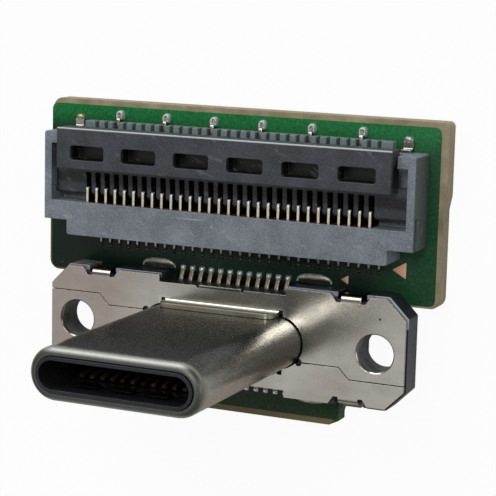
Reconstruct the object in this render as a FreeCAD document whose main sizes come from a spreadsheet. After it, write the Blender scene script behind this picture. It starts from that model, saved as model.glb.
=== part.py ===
import FreeCAD, Part
import Sketcher
import math
import os

from FreeCAD import Vector

# A small circuit board that carries a long standing plug in a sheet-metal flange,
# and a 30-way flat-cable connector with a flip lock bar.
# Frame: the board lies flat on its back, z = 0 is its back face and +Z is the way the plug points.
# The origin is on the plug's axis, X runs along the board's long side, +Y points to the cable's mouth.

doc = FreeCAD.newDocument("plug_board")
sheet = doc.addObject("Spreadsheet::Sheet", "sizes")
rows = []


class Size:
    """A length that keeps the formula it comes from, so that a feature can be bound to it."""

    def __init__(self, number, formula):
        self.number = number
        self.formula = formula

    def join(self, other, sign, number):
        text = other.formula if isinstance(other, Size) else "%.6g" % other
        return Size(number, "(%s %s %s)" % (self.formula, sign, text))

    def __add__(self, other):
        return self.join(other, "+", self.number + float(other))

    def __sub__(self, other):
        return self.join(other, "-", self.number - float(other))

    def __mul__(self, other):
        return self.join(other, "*", self.number * float(other))

    def __truediv__(self, other):
        return self.join(other, "/", self.number / float(other))

    def __neg__(self):
        return Size(-self.number, "(0 - %s)" % self.formula)

    def __float__(self):
        return float(self.number)


def size(word, number):
    """Writes one driving dimension into the sheet and hands it back."""
    rows.append(word)
    cell = "B%d" % len(rows)
    sheet.set("A%d" % len(rows), word)
    sheet.set(cell, "%g" % number)
    sheet.setAlias(cell, word)
    return Size(number, "sizes." + word)


# Circuit board
board_thickness = size("board_thickness", 0.8)
board_left = size("board_left", 10.18)
board_right = size("board_right", 10.24)
left_trim = size("left_trim", 0.16)
right_bulge = size("right_bulge", 0.12)
step_low = size("step_low", 6.6)
step_high = size("step_high", 7.2)
board_top = size("board_top", 10.58)
shoulder_level = size("shoulder_level", 2.02)
neck_half = size("neck_half", 6.6)
neck_bottom = size("neck_bottom", 3.03)
tab_half = size("tab_half", 5.5)
tab_bottom = size("tab_bottom", 4.05)
tab_cut_x = size("tab_cut_x", 0.5)
tab_cut_y = size("tab_cut_y", 0.25)
board_corner = size("board_corner", 0.5)
board_fillet = size("board_fillet", 0.25)
tab_fillet = size("tab_fillet", 0.45)
copper = size("copper", 0.035)
big_mark_x = size("big_mark_x", 8.33)
big_mark_y = size("big_mark_y", 3.68)
big_mark_radius = size("big_mark_radius", 0.46)
small_mark_x = size("small_mark_x", 5.63)
small_mark_y = size("small_mark_y", 2.98)
small_mark_radius = size("small_mark_radius", 0.25)

# Flange: two interlocking sheet halves over a moulded body
flange_half_length = size("flange_half_length", 9.16)
flange_half_width = size("flange_half_width", 2.59)
flange_top = size("flange_top", 1.54)
flange_corner = size("flange_corner", 0.93)
sheet_metal = size("sheet_metal", 0.22)
body_lip = size("body_lip", 0.05)
lead_gap_half = size("lead_gap_half", 3.28)
lead_gap_level = size("lead_gap_level", 2.26)
screw_place = size("screw_place", 7.73)
screw_hole_radius = size("screw_hole_radius", 0.88)
hole_edge = size("hole_edge", 0.06)
seam_gap = size("seam_gap", 0.04)
seam_low = size("seam_low", 0.83)
seam_high = size("seam_high", 1.36)
seam_inner = size("seam_inner", 5.98)
seam_outer = size("seam_outer", 6.52)
seam_relief = size("seam_relief", 0.17)
seam_relief_place = size("seam_relief_place", 3.98)
clip_place = size("clip_place", 6.47)
clip_width = size("clip_width", 0.98)
clip_face = size("clip_face", 2.58)
clip_foot = size("clip_foot", 0.35)
notch_width = size("notch_width", 0.22)
clip_bend = size("clip_bend", 0.25)
notch_level = clip_face - sheet_metal / 2 - clip_bend
notch_slant = size("notch_slant", 0.2)
lip_half = size("lip_half", 2.95)
lip_relief = size("lip_relief", 0.2)
lip_relief_level = size("lip_relief_level", 1.52)
lip_rise = size("lip_rise", 0.86)
lip_corner = size("lip_corner", 0.42)
strip_tab_place = size("strip_tab_place", 0.1)
strip_tab_half = size("strip_tab_half", 1.1)
strip_tab_rise = size("strip_tab_rise", 0.04)
strip_notch = size("strip_notch", 0.12)
strip_notch_depth = size("strip_notch_depth", 0.1)

# Plug: drawn tube, insulator, carrier, contacts, latches and ground springs
tube_width = size("tube_width", 8.25)
tube_height = size("tube_height", 2.4)
tube_wall = size("tube_wall", 0.25)
tube_reach = size("tube_reach", 12.16)
tube_rear = size("tube_rear", 0.85)
tube_lip_round = size("tube_lip_round", 0.36)
tube_lip_curl = size("tube_lip_curl", 0.125)
tube_lip_depth = size("tube_lip_depth", 0.3)
tube_clearance = size("tube_clearance", 0.06)
foot_inner = size("foot_inner", 3.35)
foot_outer = size("foot_outer", 4.8)
foot_reach = size("foot_reach", 2.85)
foot_thickness = size("foot_thickness", 0.25)
fit_gap = size("fit_gap", 0.05)
mouth_rim = size("mouth_rim", 0.27)
nose_rise = size("nose_rise", 0.1)
carrier_rear = size("carrier_rear", 0.75)
carrier_front = size("carrier_front", 3.5)
stem_half_width = size("stem_half_width", 3.3)
stem_half_height = size("stem_half_height", 0.48)
pitch = size("pitch", 0.5)
lead_width = size("lead_width", 0.2)
lead_thickness = size("lead_thickness", 0.15)
lead_row = size("lead_row", 0.62)
groove_width = size("groove_width", 0.28)
groove_floor = size("groove_floor", 0.53)
groove_roof = size("groove_roof", 0.78)
groove_end = size("groove_end", 2.2)
bump_row = size("bump_row", 0.38)
bump_back = size("bump_back", 2.9)
beam_tip_row = size("beam_tip_row", 0.52)
beam_tip_back = size("beam_tip_back", 2.3)
beam_root_back = size("beam_root_back", 4.6)
lead_exit = size("lead_exit", 0.25)
lead_drop = size("lead_drop", 2.26)
lead_slope = size("lead_slope", 0.33)
lead_toe = size("lead_toe", 2.68)
latch_sheet = size("latch_sheet", 0.2)
latch_wall = size("latch_wall", 0.18)
latch_arm = size("latch_arm", 0.19)
latch_outer = tube_width / 2 - tube_wall - fit_gap - latch_wall
latch_inner = latch_outer - latch_arm
latch_rear = size("latch_rear", 1.7)
latch_fork = size("latch_fork", 4.2)
latch_tip_back = size("latch_tip_back", 1.7)
latch_barb = size("latch_barb", 0.17)
latch_barb_back = size("latch_barb_back", 2.1)
latch_gap = size("latch_gap", 0.02)
spring_sheet = size("spring_sheet", 0.1)
spring_row = size("spring_row", 0.84)
spring_half = size("spring_half", 2.6)
spring_rear_back = size("spring_rear_back", 2.0)
spring_root_back = size("spring_root_back", 1.62)
finger_pitch = size("finger_pitch", 1.7)
finger_width = size("finger_width", 0.9)
finger_row = size("finger_row", 0.5)

# Cable connector: housing, contacts, pins, hold-downs and lock bar
housing_half = size("housing_half", 9.46)
housing_wall = size("housing_wall", 0.4)
hook_length = size("hook_length", 0.9)
floor_inset = size("floor_inset", 1.56)
block_inset = size("block_inset", 1.23)
housing_height = size("housing_height", 1.82)
block_half = housing_half - block_inset
block_rear = size("block_rear", 4.14)
wall_rear = size("wall_rear", 4.85)
block_front = size("block_front", 5.78)
wall_front = size("wall_front", 9.13)
floor_front = size("floor_front", 9.6)
floor_half = housing_half - floor_inset
floor_height = size("floor_height", 0.62)
floor_skin = size("floor_skin", 0.12)
hook_inner = housing_half - hook_length
hook_rear = size("hook_rear", 8.55)
slit_low = size("slit_low", 1.36)
slit_high = size("slit_high", 1.7)
slit_depth = size("slit_depth", 0.25)
slit_front = size("slit_front", 6.3)
housing_corner = size("housing_corner", 0.15)
slot_width = size("slot_width", 0.18)
slot_roof = size("slot_roof", 1.7)
contact_sheet = size("contact_sheet", 0.13)
contact_top = size("contact_top", 1.66)
beam_depth = size("beam_depth", 0.2)
hook_tip = size("hook_tip", 6.5)
hook_drop = size("hook_drop", 1.31)
hook_thickness = size("hook_thickness", 0.12)
web_rear = size("web_rear", 4.25)
web_front = size("web_front", 4.95)
tail_end = size("tail_end", 3.55)
tail_height = size("tail_height", 0.15)
lower_low = size("lower_low", 0.22)
lower_high = size("lower_high", 0.46)
lower_end = size("lower_end", 8.9)
lower_bump = size("lower_bump", 0.74)
lower_bump_place = size("lower_bump_place", 8.5)
pin_pitch = size("pin_pitch", 2.5)
pin_sheet = size("pin_sheet", 0.15)
pin_width = size("pin_width", 0.2)
pin_end = size("pin_end", 9.95)
pin_bend = size("pin_bend", 9.74)
pin_level = size("pin_level", 0.32)
pin_root = size("pin_root", 9.15)
hold_down_inset = size("hold_down_inset", 0.76)
hold_down_width = size("hold_down_width", 0.48)
hold_down_outer = housing_half - hold_down_inset
hold_down_inner = hold_down_outer - hold_down_width
hold_down_end = size("hold_down_end", 9.62)
hold_down_rise = size("hold_down_rise", 0.5)
bar_side_gap = size("bar_side_gap", 0.08)
bar_half = hook_inner - bar_side_gap
bar_rear = size("bar_rear", 7.42)
bar_front = size("bar_front", 9.39)
bar_low = size("bar_low", 1.3)
bar_high = size("bar_high", 2.36)
bar_round = size("bar_round", 0.07)
comb_side_gap = size("comb_side_gap", 0.11)
comb_half = housing_half - housing_wall - comb_side_gap
comb_high = size("comb_high", 1.45)
comb_slot_width = size("comb_slot_width", 0.26)
comb_slot_front = size("comb_slot_front", 7.2)
pivot_place = size("pivot_place", 6.3)
pivot_level = size("pivot_level", 1.15)
pivot_radius = size("pivot_radius", 0.2)
axle_radius = size("axle_radius", 0.12)
pin_radius = size("pin_radius", 0.15)
pin_reach = size("pin_reach", 0.2)
pin_clearance = size("pin_clearance", 0.04)
window_width = size("window_width", 1.8)
window_height = size("window_height", 0.69)
window_place = size("window_place", 8.21)
window_pitch = size("window_pitch", 2.74)
window_depth = size("window_depth", 0.8)
window_corner = size("window_corner", 0.1)
solder_height = size("solder_height", 0.18)
solder_reach = size("solder_reach", 0.24)
solder_width = size("solder_width", 0.26)
foot_pad_rim = size("foot_pad_rim", 0.18)
doc.recompute()

# Counts are whole numbers of the real part
PLUG_LEADS = 12
CABLE_CONTACTS = 30
MOUTH_PINS = 6
WINDOWS = 6
SPRING_FINGERS = 3

face = board_thickness


def above(height):
    """A level measured from the board's front face."""
    return face + height


# Sketches

def polygon(sketch, points):
    """Closes straight lines through the points and ties each corner to its two sizes."""
    corners = [Vector(float(x), float(y), 0) for x, y in points]
    first = sketch.GeometryCount
    count = len(corners)
    for i in range(count):
        sketch.addGeometry(Part.LineSegment(corners[i], corners[(i + 1) % count]), False)
    for i in range(count):
        after = first + (i + 1) % count
        sketch.addConstraint(Sketcher.Constraint("Coincident", first + i, 2, after, 1))
    for i, (x, y) in enumerate(points):
        for kind, length in (("DistanceX", x), ("DistanceY", y)):
            index = sketch.addConstraint(Sketcher.Constraint(kind, -1, 1, first + i, 1, float(length)))
            if isinstance(length, Size):
                sketch.setExpression("Constraints[%d]" % index, length.formula)


def place_round(sketch, geometry, x, y, radius):
    """Ties the centre and radius of a circle or an arc."""
    for kind, length in (("DistanceX", x), ("DistanceY", y)):
        index = sketch.addConstraint(Sketcher.Constraint(kind, -1, 1, geometry, 3, float(length)))
        if isinstance(length, Size):
            sketch.setExpression("Constraints[%d]" % index, length.formula)
    index = sketch.addConstraint(Sketcher.Constraint("Radius", geometry, float(radius)))
    sketch.setExpression("Constraints[%d]" % index, radius.formula)


def circle(sketch, x, y, radius):
    shape = Part.Circle(Vector(float(x), float(y), 0), Vector(0, 0, 1), float(radius))
    place_round(sketch, sketch.addGeometry(shape, False), x, y, radius)


def stadium(sketch, width, height):
    """Two half circles joined by two straight sides, centred on the origin."""
    radius = height / 2
    offset = (width - height) / 2
    r, a = float(radius), float(offset)
    normal = Vector(0, 0, 1)
    right = sketch.addGeometry(Part.ArcOfCircle(Part.Circle(Vector(a, 0, 0), normal, r), -math.pi / 2, math.pi / 2))
    left = sketch.addGeometry(Part.ArcOfCircle(Part.Circle(Vector(-a, 0, 0), normal, r), math.pi / 2, 3 * math.pi / 2))
    top = sketch.addGeometry(Part.LineSegment(Vector(a, r, 0), Vector(-a, r, 0)))
    bottom = sketch.addGeometry(Part.LineSegment(Vector(-a, -r, 0), Vector(a, -r, 0)))
    place_round(sketch, right, offset, 0, radius)
    place_round(sketch, left, -offset, 0, radius)
    for one, end, two, start in ((right, 2, top, 1), (top, 2, left, 1), (left, 2, bottom, 1), (bottom, 2, right, 1)):
        sketch.addConstraint(Sketcher.Constraint("Tangent", one, end, two, start))


def rectangle(sketch, x_low, x_high, y_low, y_high):
    polygon(sketch, [(x_low, y_low), (x_high, y_low), (x_high, y_high), (x_low, y_high)])


def sketch_in(body, name, plane, lift):
    """A sketch on one of a body's own origin planes, raised by lift along the plane's normal."""
    sketch = body.newObject("Sketcher::SketchObject", name)
    role = plane + "_Plane"
    support = [feature for feature in body.Origin.OriginFeatures if feature.Role == role][0]
    sketch.AttachmentSupport = (support, [""])
    sketch.MapMode = "FlatFace"
    if isinstance(lift, Size):
        sketch.setExpression("AttachmentOffset.Base.z", lift.formula)
    return sketch


# Solid features

def new_body(label):
    body = doc.addObject("PartDesign::Body", label)
    body.Label = label
    return body


def pad(body, name, sketch, length, centred=False):
    feature = body.newObject("PartDesign::Pad", name)
    feature.Profile = sketch
    feature.setExpression("Length", length.formula)
    if centred:
        feature.SideType = "Symmetric"
    doc.recompute()
    return feature


def pocket(body, name, sketch, length=None, centred=False, upward=False):
    """Cuts downward from the sketch, or upward, or both ways; with no length it cuts all through."""
    before = body.Shape.Volume
    feature = body.newObject("PartDesign::Pocket", name)
    feature.Profile = sketch
    if centred:
        feature.SideType = "Symmetric"
    if upward:
        feature.Reversed = True
    if length is None:
        feature.Type = "ThroughAll"
    else:
        feature.setExpression("Length", length.formula)
    doc.recompute()
    if not body.Shape.Volume < before - 1e-9:
        raise RuntimeError(name + " cut nothing")
    return feature


def repeat(body, name, feature, sketch, axis, step, count):
    """Copies a feature count times along a sketch axis."""
    pattern = body.newObject("PartDesign::LinearPattern", name)
    pattern.Originals = [feature]
    pattern.Direction = (sketch, [axis])
    pattern.setExpression("Length", (step * (count - 1)).formula)
    pattern.Occurrences = count
    body.Tip = pattern
    doc.recompute()
    return pattern


def edges_near(shape, places, direction):
    """Names of the straight edges along direction whose middle is at one of the places."""
    names = []
    for i, edge in enumerate(shape.Edges):
        if not isinstance(edge.Curve, Part.Line) or edge.Curve.Direction.cross(direction).Length > 1e-6:
            continue
        middle = edge.valueAt((edge.FirstParameter + edge.LastParameter) / 2)
        for place in places:
            flat = [float(b) - a for a, b in zip(middle, place) if b is not None]
            if math.sqrt(sum(v * v for v in flat)) < 1e-4:
                names.append("Edge%d" % (i + 1))
                break
    return names


def fillet(body, name, places, direction, radius):
    names = edges_near(body.Shape, places, direction)
    if not names:
        raise RuntimeError(name + " found no edge")
    base = body.Tip
    feature = body.newObject("PartDesign::Fillet", name)
    feature.Base = (base, names)
    feature.setExpression("Radius", radius.formula)
    doc.recompute()
    return feature


ALONG_X, ALONG_Y, ALONG_Z = Vector(1, 0, 0), Vector(0, 1, 0), Vector(0, 0, 1)


# Bent sheet strips, drawn in the YZ plane and given a width along X

def strip_side(path, radii, offset):
    """The edges that run beside a bent path at a signed distance, with each bend about its own centre."""
    runs = [(b - a).normalize() for a, b in zip(path, path[1:])]
    normals = [Vector(0, -run.z, run.y) for run in runs]
    edges = []
    point = path[0] + normals[0] * offset
    for k, radius in enumerate(radii):
        one, two = normals[k], normals[k + 1]
        turn = math.atan2(runs[k].y * runs[k + 1].z - runs[k].z * runs[k + 1].y, runs[k].dot(runs[k + 1]))
        side = math.copysign(1, turn)
        if not radius:
            corner = path[k + 1] + (one + two).normalize() * (offset / math.cos(turn / 2))
            edges.append(Part.makeLine(point, corner))
            point = corner
            continue
        run_in = path[k + 1] - runs[k] * (radius * math.tan(abs(turn) / 2))
        run_out = path[k + 1] + runs[k + 1] * (radius * math.tan(abs(turn) / 2))
        centre = run_in + one * (radius * side)
        outward = (path[k + 1] - centre).normalize()
        start = run_in + one * offset
        end = run_out + two * offset
        if (start - point).Length > 1e-6:
            edges.append(Part.makeLine(point, start))
        edges.append(Part.Arc(start, centre + outward * (radius - side * offset), end).toShape())
        point = end
    edges.append(Part.makeLine(point, path[-1] + normals[-1] * offset))
    return edges


def coined(path, bends):
    """The path with each sharp bend as two short flats, for small pieces that repeat."""
    flats = [path[0]]
    for before, corner, after, radius in zip(path, path[1:], path[2:], bends):
        run_in, run_out = (corner - before).normalize(), (after - corner).normalize()
        turn = run_in.getAngle(run_out)
        if turn < math.pi / 6:
            flats.append(corner)
            continue
        reach = radius * math.tan(turn / 2)
        start, end = corner - run_in * reach, corner + run_out * reach
        inward = ((start + end) * 0.5 - corner).normalize()
        flats += [start, corner + inward * (radius / math.cos(turn / 2) - radius), end]
    return flats + [path[-1]]


def strip(points, radii, thickness, x_low, x_high, coin=False):
    """A solid strip of sheet that follows (y, height above the board) points from x_low to x_high."""
    path = [Vector(0, float(y), float(above(z))) for y, z in points]
    half = float(thickness) / 2
    bends = [float(radius) for radius in radii]
    if coin:
        path = coined(path, bends)
        bends = [0] * (len(path) - 2)
    one = strip_side(path, bends, half)
    two = strip_side(path, bends, -half)
    caps = [Part.makeLine(one[0].firstVertex(True).Point, two[0].firstVertex(True).Point),
            Part.makeLine(one[-1].lastVertex(True).Point, two[-1].lastVertex(True).Point)]
    outline = Part.Wire(Part.__sortEdges__(one + two + caps))
    solid = Part.Face(outline).extrude(Vector(float(x_high) - float(x_low), 0, 0))
    solid.translate(Vector(float(x_low), 0, 0))
    return solid


def slab(points, x_low, x_high):
    """A flat stamped piece: a straight-sided outline of (y, height above the board) points."""
    corners = [Vector(float(x_low), float(y), float(above(z))) for y, z in points]
    outline = Part.makePolygon(corners + corners[:1])
    return Part.Face(outline).extrude(Vector(float(x_high) - float(x_low), 0, 0))


def chamfered(solid, corners):
    """Bevels the edges along X that pass through the given (y, height, size) places."""
    for y, z, bevel in corners:
        edges = []
        for edge in solid.Edges:
            ends = [vertex.Point for vertex in edge.Vertexes]
            if all(math.hypot(p.y - float(y), p.z - float(above(z))) < 1e-5 for p in ends):
                edges.append(edge)
        solid = solid.makeChamfer(float(bevel), edges)
    return solid


def rounded_end(solid, radius):
    """Rounds the two corners of an upright strip's free end."""
    top = solid.BoundBox.ZMax
    edges = []
    for edge in solid.Edges:
        ends = [vertex.Point for vertex in edge.Vertexes]
        if all(abs(p.z - top) < 1e-5 for p in ends) and abs(ends[0].y - ends[-1].y) > 1e-5:
            edges.append(edge)
    return solid.makeFillet(float(radius), edges)


def turned(solid):
    """The same solid turned half a turn about the plug's axis."""
    copy = solid.copy()
    copy.rotate(Vector(0, 0, 0), ALONG_Z, 180)
    return copy


def row_of(solid, step, count):
    """Copies of a solid made at x = 0, spread along X about the plug's axis."""
    copies = []
    for i in range(count):
        copy = solid.copy()
        copy.translate(Vector((i - (count - 1) / 2) * float(step), 0, 0))
        copies.append(copy)
    return copies


def piece(label, shape):
    feature = doc.addObject("Part::Feature", label)
    feature.Label = label
    feature.Shape = shape
    return feature


def group(label, solids):
    return piece(label, Part.makeCompound(solids))


# Circuit board

def circuit_board():
    board = new_body("circuit_board")
    outline = sketch_in(board, "board_outline", "XY", 0)
    upper_left = -(board_left - left_trim)
    upper_right = board_right + right_bulge
    polygon(outline, [
        (upper_left, board_top), (upper_left, step_high), (-board_left, step_low),
        (-board_left, shoulder_level), (-neck_half, shoulder_level), (-neck_half, -neck_bottom),
        (-tab_half, -neck_bottom), (-tab_half, tab_cut_y - tab_bottom), (tab_cut_x - tab_half, -tab_bottom),
        (tab_half - tab_cut_x, -tab_bottom), (tab_half, tab_cut_y - tab_bottom), (tab_half, -neck_bottom),
        (neck_half, -neck_bottom), (neck_half, shoulder_level), (board_right, shoulder_level),
        (board_right, step_low), (upper_right, step_high), (upper_right, board_top)])
    pad(board, "board_pad", outline, board_thickness)
    corners = [(upper_left, board_top, None), (-board_left, shoulder_level, None),
               (board_right, shoulder_level, None)]
    fillet(board, "board_corners", corners, ALONG_Z, board_corner)
    small = [(-neck_half, shoulder_level, None), (neck_half, shoulder_level, None), (upper_right, board_top, None)]
    fillet(board, "board_fillets", small, ALONG_Z, board_fillet)
    coves = [(-tab_half, -neck_bottom, None), (tab_half, -neck_bottom, None)]
    fillet(board, "tab_fillets", coves, ALONG_Z, tab_fillet)
    return board


def copper_mark(name, x, y, radius):
    """A bare three-sided mark whose point looks to -X."""
    mark = doc.addObject("Part::Prism", name)
    mark.Polygon = 3
    mark.setExpression("Circumradius", radius.formula)
    mark.setExpression("Height", copper.formula)
    mark.Placement = FreeCAD.Placement(Vector(float(x), float(y), float(face)), FreeCAD.Rotation(ALONG_Z, 180))
    mark.setExpression("Placement.Base.x", x.formula)
    mark.setExpression("Placement.Base.y", y.formula)
    mark.setExpression("Placement.Base.z", face.formula)
    return mark


def copper_marks():
    marks = doc.addObject("Part::Compound", "copper_marks")
    marks.Label = "copper_marks"
    marks.Links = [copper_mark("big_mark", big_mark_x, big_mark_y, big_mark_radius),
                   copper_mark("small_mark", small_mark_x, small_mark_y, small_mark_radius)]
    return marks


# Flange body: one moulding with a tube hole, screw holes, clip recesses and lead windows

def flange_body():
    body = new_body("flange_body")
    outline = sketch_in(body, "body_outline", "XY", face)
    long_side = flange_half_length + body_lip
    short_side = flange_half_width + body_lip
    recess = clip_face - sheet_metal - fit_gap
    gap_level = lead_gap_level - fit_gap
    inner = clip_place - clip_width / 2 - notch_width
    outer = clip_place + clip_width / 2 + notch_width
    quarter = [(long_side, short_side - flange_corner), (long_side - flange_corner, short_side),
               (outer, short_side), (outer, recess), (inner, recess), (inner, short_side),
               (lead_gap_half, short_side), (lead_gap_half, gap_level)]
    upper = quarter + [(-x, y) for x, y in reversed(quarter)]
    polygon(outline, upper + [(-x, -y) for x, y in upper])
    height = flange_top - sheet_metal
    pad(body, "body_pad", outline, height)
    holes = sketch_in(body, "screw_holes", "XY", above(height))
    circle(holes, screw_place, 0, screw_hole_radius)
    circle(holes, -screw_place, 0, screw_hole_radius)
    pocket(body, "screw_hole_cuts", holes)
    tube = sketch_in(body, "tube_hole", "XY", above(height))
    stadium(tube, tube_width + tube_clearance * 2, tube_height + tube_clearance * 2)
    pocket(body, "tube_hole_cut", tube)
    feet = sketch_in(body, "foot_recesses", "XY", face)
    for low, high in ((foot_inner - fit_gap, foot_outer + fit_gap), (-foot_outer - fit_gap, fit_gap - foot_inner)):
        rectangle(feet, low, high, -foot_reach, foot_reach)
    pocket(body, "foot_recess_cuts", feet, foot_thickness + fit_gap, upward=True)
    windows = sketch_in(body, "lead_windows", "XY", above(lead_exit + lead_thickness / 2 + fit_gap))
    reach = pitch * ((PLUG_LEADS - 1) / 2) + lead_width / 2 + fit_gap * 2
    for low, high in ((tube_height / 2, short_side), (-short_side, -(tube_height / 2))):
        rectangle(windows, -reach, reach, low, high)
    pocket(body, "lead_window_cuts", windows, lead_thickness + fit_gap * 2)
    return body


# Flange sheets: the lower half is the upper half turned half a turn about the plug's axis

def free_sketch(name, lift):
    sketch = doc.addObject("Sketcher::SketchObject", name)
    sketch.setExpression("Placement.Base.z", lift.formula)
    return sketch


def extrusion(name, sketch, length):
    feature = doc.addObject("Part::Extrusion", name)
    feature.Base = sketch
    feature.DirMode = "Normal"
    feature.Solid = True
    feature.setExpression("LengthFwd", length.formula)
    return feature


def strip_tab():
    """The stub where the sheet was cut from its carrier strip, with a small notch at each end."""
    left, right = -(strip_tab_place + strip_tab_half), strip_tab_half - strip_tab_place
    floor, rim = lead_gap_level - strip_notch_depth, lead_gap_level + strip_tab_rise
    return [(left - strip_notch, lead_gap_level), (left - strip_notch, floor), (left, floor), (left, rim),
            (right, rim), (right, floor), (right + strip_notch, floor), (right + strip_notch, lead_gap_level)]


def flange_outline(turn):
    """Half of the flange down to its stepped seam; turn is 1 for the upper half and -1 for the lower."""
    half_gap = seam_gap / 2
    right_seam = [(flange_half_length, half_gap - seam_high), (seam_outer, half_gap - seam_high),
                  (seam_inner, half_gap - seam_low), (lip_half, half_gap - seam_low)]
    left_seam = [(-lip_half, seam_low + half_gap), (-seam_inner, seam_low + half_gap),
                 (-seam_outer, seam_high + half_gap), (-flange_half_length, seam_high + half_gap)]
    left_top = [(-flange_half_length, flange_half_width - flange_corner),
                (flange_corner - flange_half_length, flange_half_width)]
    gap = ([(-lead_gap_half, flange_half_width), (-lead_gap_half, lead_gap_level)] + strip_tab()
           + [(lead_gap_half, lead_gap_level), (lead_gap_half, flange_half_width)])
    right_top = [(flange_half_length - flange_corner, flange_half_width),
                 (flange_half_length, flange_half_width - flange_corner)]
    points = right_seam + left_seam + left_top + gap + right_top
    return points if turn > 0 else [(-x, -y) for x, y in points]


def clip_notch(side, turn):
    """The cut at one clip: its outer sides slant and its bottom leaves room for the bend."""
    half = clip_width / 2 + notch_width
    low, high = clip_place - half, clip_place + half
    rim = flange_half_width + notch_slant
    points = [(low, notch_level), (high, notch_level), (high + notch_slant * 2, rim), (low - notch_slant * 2, rim)]
    return [(x * (side * turn), y * turn) for x, y in points]


def flange_cut(name, turn):
    """Everything that is punched out of one sheet half, in one sketch per kind."""
    through = above(flange_top - sheet_metal * 2)
    notches = free_sketch(name + "_notches", through)
    for side in (-1, 1):
        polygon(notches, clip_notch(side, turn))
    relief = free_sketch(name + "_lip_relief", through)
    width = lip_half + lip_relief
    levels = (seam_low * 0, lip_relief_level)
    low, high = levels if turn > 0 else (-lip_relief_level, seam_low * 0)
    rectangle(relief, -width, width, low, high)
    tube = free_sketch(name + "_tube_hole", through)
    stadium(tube, tube_width + tube_clearance * 2, tube_height + tube_clearance * 2)
    cuts = [extrusion(name + "_" + word, sketch, sheet_metal * 4)
            for word, sketch in (("notch_cut", notches), ("relief_cut", relief), ("tube_cut", tube))]
    hole = doc.addObject("Part::Cylinder", name + "_screw_hole")
    hole.setExpression("Radius", screw_hole_radius.formula)
    hole.setExpression("Height", (sheet_metal * 4).formula)
    hole.setExpression("Placement.Base.x", (screw_place * turn).formula)
    hole.setExpression("Placement.Base.z", through.formula)
    edge = doc.addObject("Part::Cone", name + "_hole_edge")
    edge.setExpression("Radius1", screw_hole_radius.formula)
    edge.setExpression("Radius2", (screw_hole_radius + hole_edge * 2).formula)
    edge.setExpression("Height", (hole_edge * 2).formula)
    edge.setExpression("Placement.Base.x", (screw_place * turn).formula)
    edge.setExpression("Placement.Base.z", above(flange_top - hole_edge).formula)
    reliefs = []
    for side in (-1, 1):
        relief_hole = doc.addObject("Part::Cylinder", name + "_seam_relief")
        relief_hole.setExpression("Radius", seam_relief.formula)
        relief_hole.setExpression("Height", (sheet_metal * 4).formula)
        relief_hole.setExpression("Placement.Base.x", (seam_relief_place * side).formula)
        relief_hole.setExpression("Placement.Base.y", (seam_low * -side).formula)
        relief_hole.setExpression("Placement.Base.z", through.formula)
        reliefs.append(relief_hole)
    every_cut = doc.addObject("Part::MultiFuse", name + "_cuts")
    every_cut.Shapes = cuts + [hole, edge] + reliefs
    return every_cut


def flange_bends(name, turn):
    """The lip that lies on the tube and the two clips that grip the moulding's edge."""
    middle = flange_top - sheet_metal / 2
    lip_row = tube_height / 2 + latch_gap + sheet_metal / 2
    clip_row = clip_face - sheet_metal / 2
    lip = strip([(lip_relief_level + sheet_metal, middle), (lip_row, middle), (lip_row, flange_top + lip_rise)],
                [sheet_metal * 0.75], sheet_metal, -lip_half, lip_half)
    solids = [rounded_end(lip, lip_corner)]
    for side in (-1, 1):
        low, high = clip_place * side - clip_width / 2, clip_place * side + clip_width / 2
        solids.append(strip([(notch_level - sheet_metal, middle), (clip_row, middle), (clip_row, clip_foot)],
                            [clip_bend], sheet_metal, low, high))
    if turn < 0:
        solids = [turned(solid) for solid in solids]
    return [piece("%s_bend_%d" % (name, i), solid) for i, solid in enumerate(solids)]


def flange_half(name, turn):
    outline = free_sketch(name + "_outline", above(flange_top - sheet_metal))
    polygon(outline, flange_outline(turn))
    plate = extrusion(name + "_plate", outline, sheet_metal)
    flat = doc.addObject("Part::Cut", name + "_flat")
    flat.Base = plate
    flat.Tool = flange_cut(name, turn)
    flange = doc.addObject("Part::MultiFuse", name)
    flange.Label = name
    flange.Shapes = [flat] + flange_bends(name, turn)
    return flange


# Plug tube: drawn shell with a rolled front lip, open at the rear between its soldered feet

def plug_tube():
    body = new_body("plug_tube")
    outer = sketch_in(body, "tube_outer", "XY", face)
    stadium(outer, tube_width, tube_height)
    pad(body, "tube_pad", outer, tube_reach)
    top = float(above(tube_reach))
    names = ["Edge%d" % (i + 1) for i, edge in enumerate(body.Shape.Edges)
             if all(abs(vertex.Z - top) < 1e-5 for vertex in edge.Vertexes)]
    base = body.Tip
    roll = body.newObject("PartDesign::Fillet", "tube_lip")
    roll.Base = (base, names)
    roll.setExpression("Radius", tube_lip_round.formula)
    doc.recompute()
    feet = sketch_in(body, "foot_outline", "XY", face)
    rectangle(feet, foot_inner, foot_outer, -foot_reach, foot_reach)
    rectangle(feet, -foot_outer, -foot_inner, -foot_reach, foot_reach)
    pad(body, "foot_pad", feet, foot_thickness)
    bore = sketch_in(body, "tube_inner", "XY", above(tube_reach - tube_lip_depth))
    stadium(bore, tube_width - tube_wall * 2, tube_height - tube_wall * 2)
    pocket(body, "tube_bore", bore)
    opening = sketch_in(body, "lip_opening", "XY", above(tube_reach))
    rim = tube_wall + tube_lip_curl
    stadium(opening, tube_width - rim * 2, tube_height - rim * 2)
    pocket(body, "lip_opening_cut", opening, tube_lip_depth)
    rear = sketch_in(body, "rear_window", "XY", above(tube_rear))
    rectangle(rear, -foot_inner, foot_inner, -tube_height, tube_height)
    pocket(body, "rear_window_cut", rear, tube_rear)
    return body


def plug_core_width():
    return tube_width - tube_wall * 2 - fit_gap * 2


def plug_core_height():
    return tube_height - tube_wall * 2 - fit_gap * 2


def mouth_height():
    return plug_core_height() - mouth_rim * 2


def first_lead():
    return -(pitch * ((PLUG_LEADS - 1) / 2))


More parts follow.
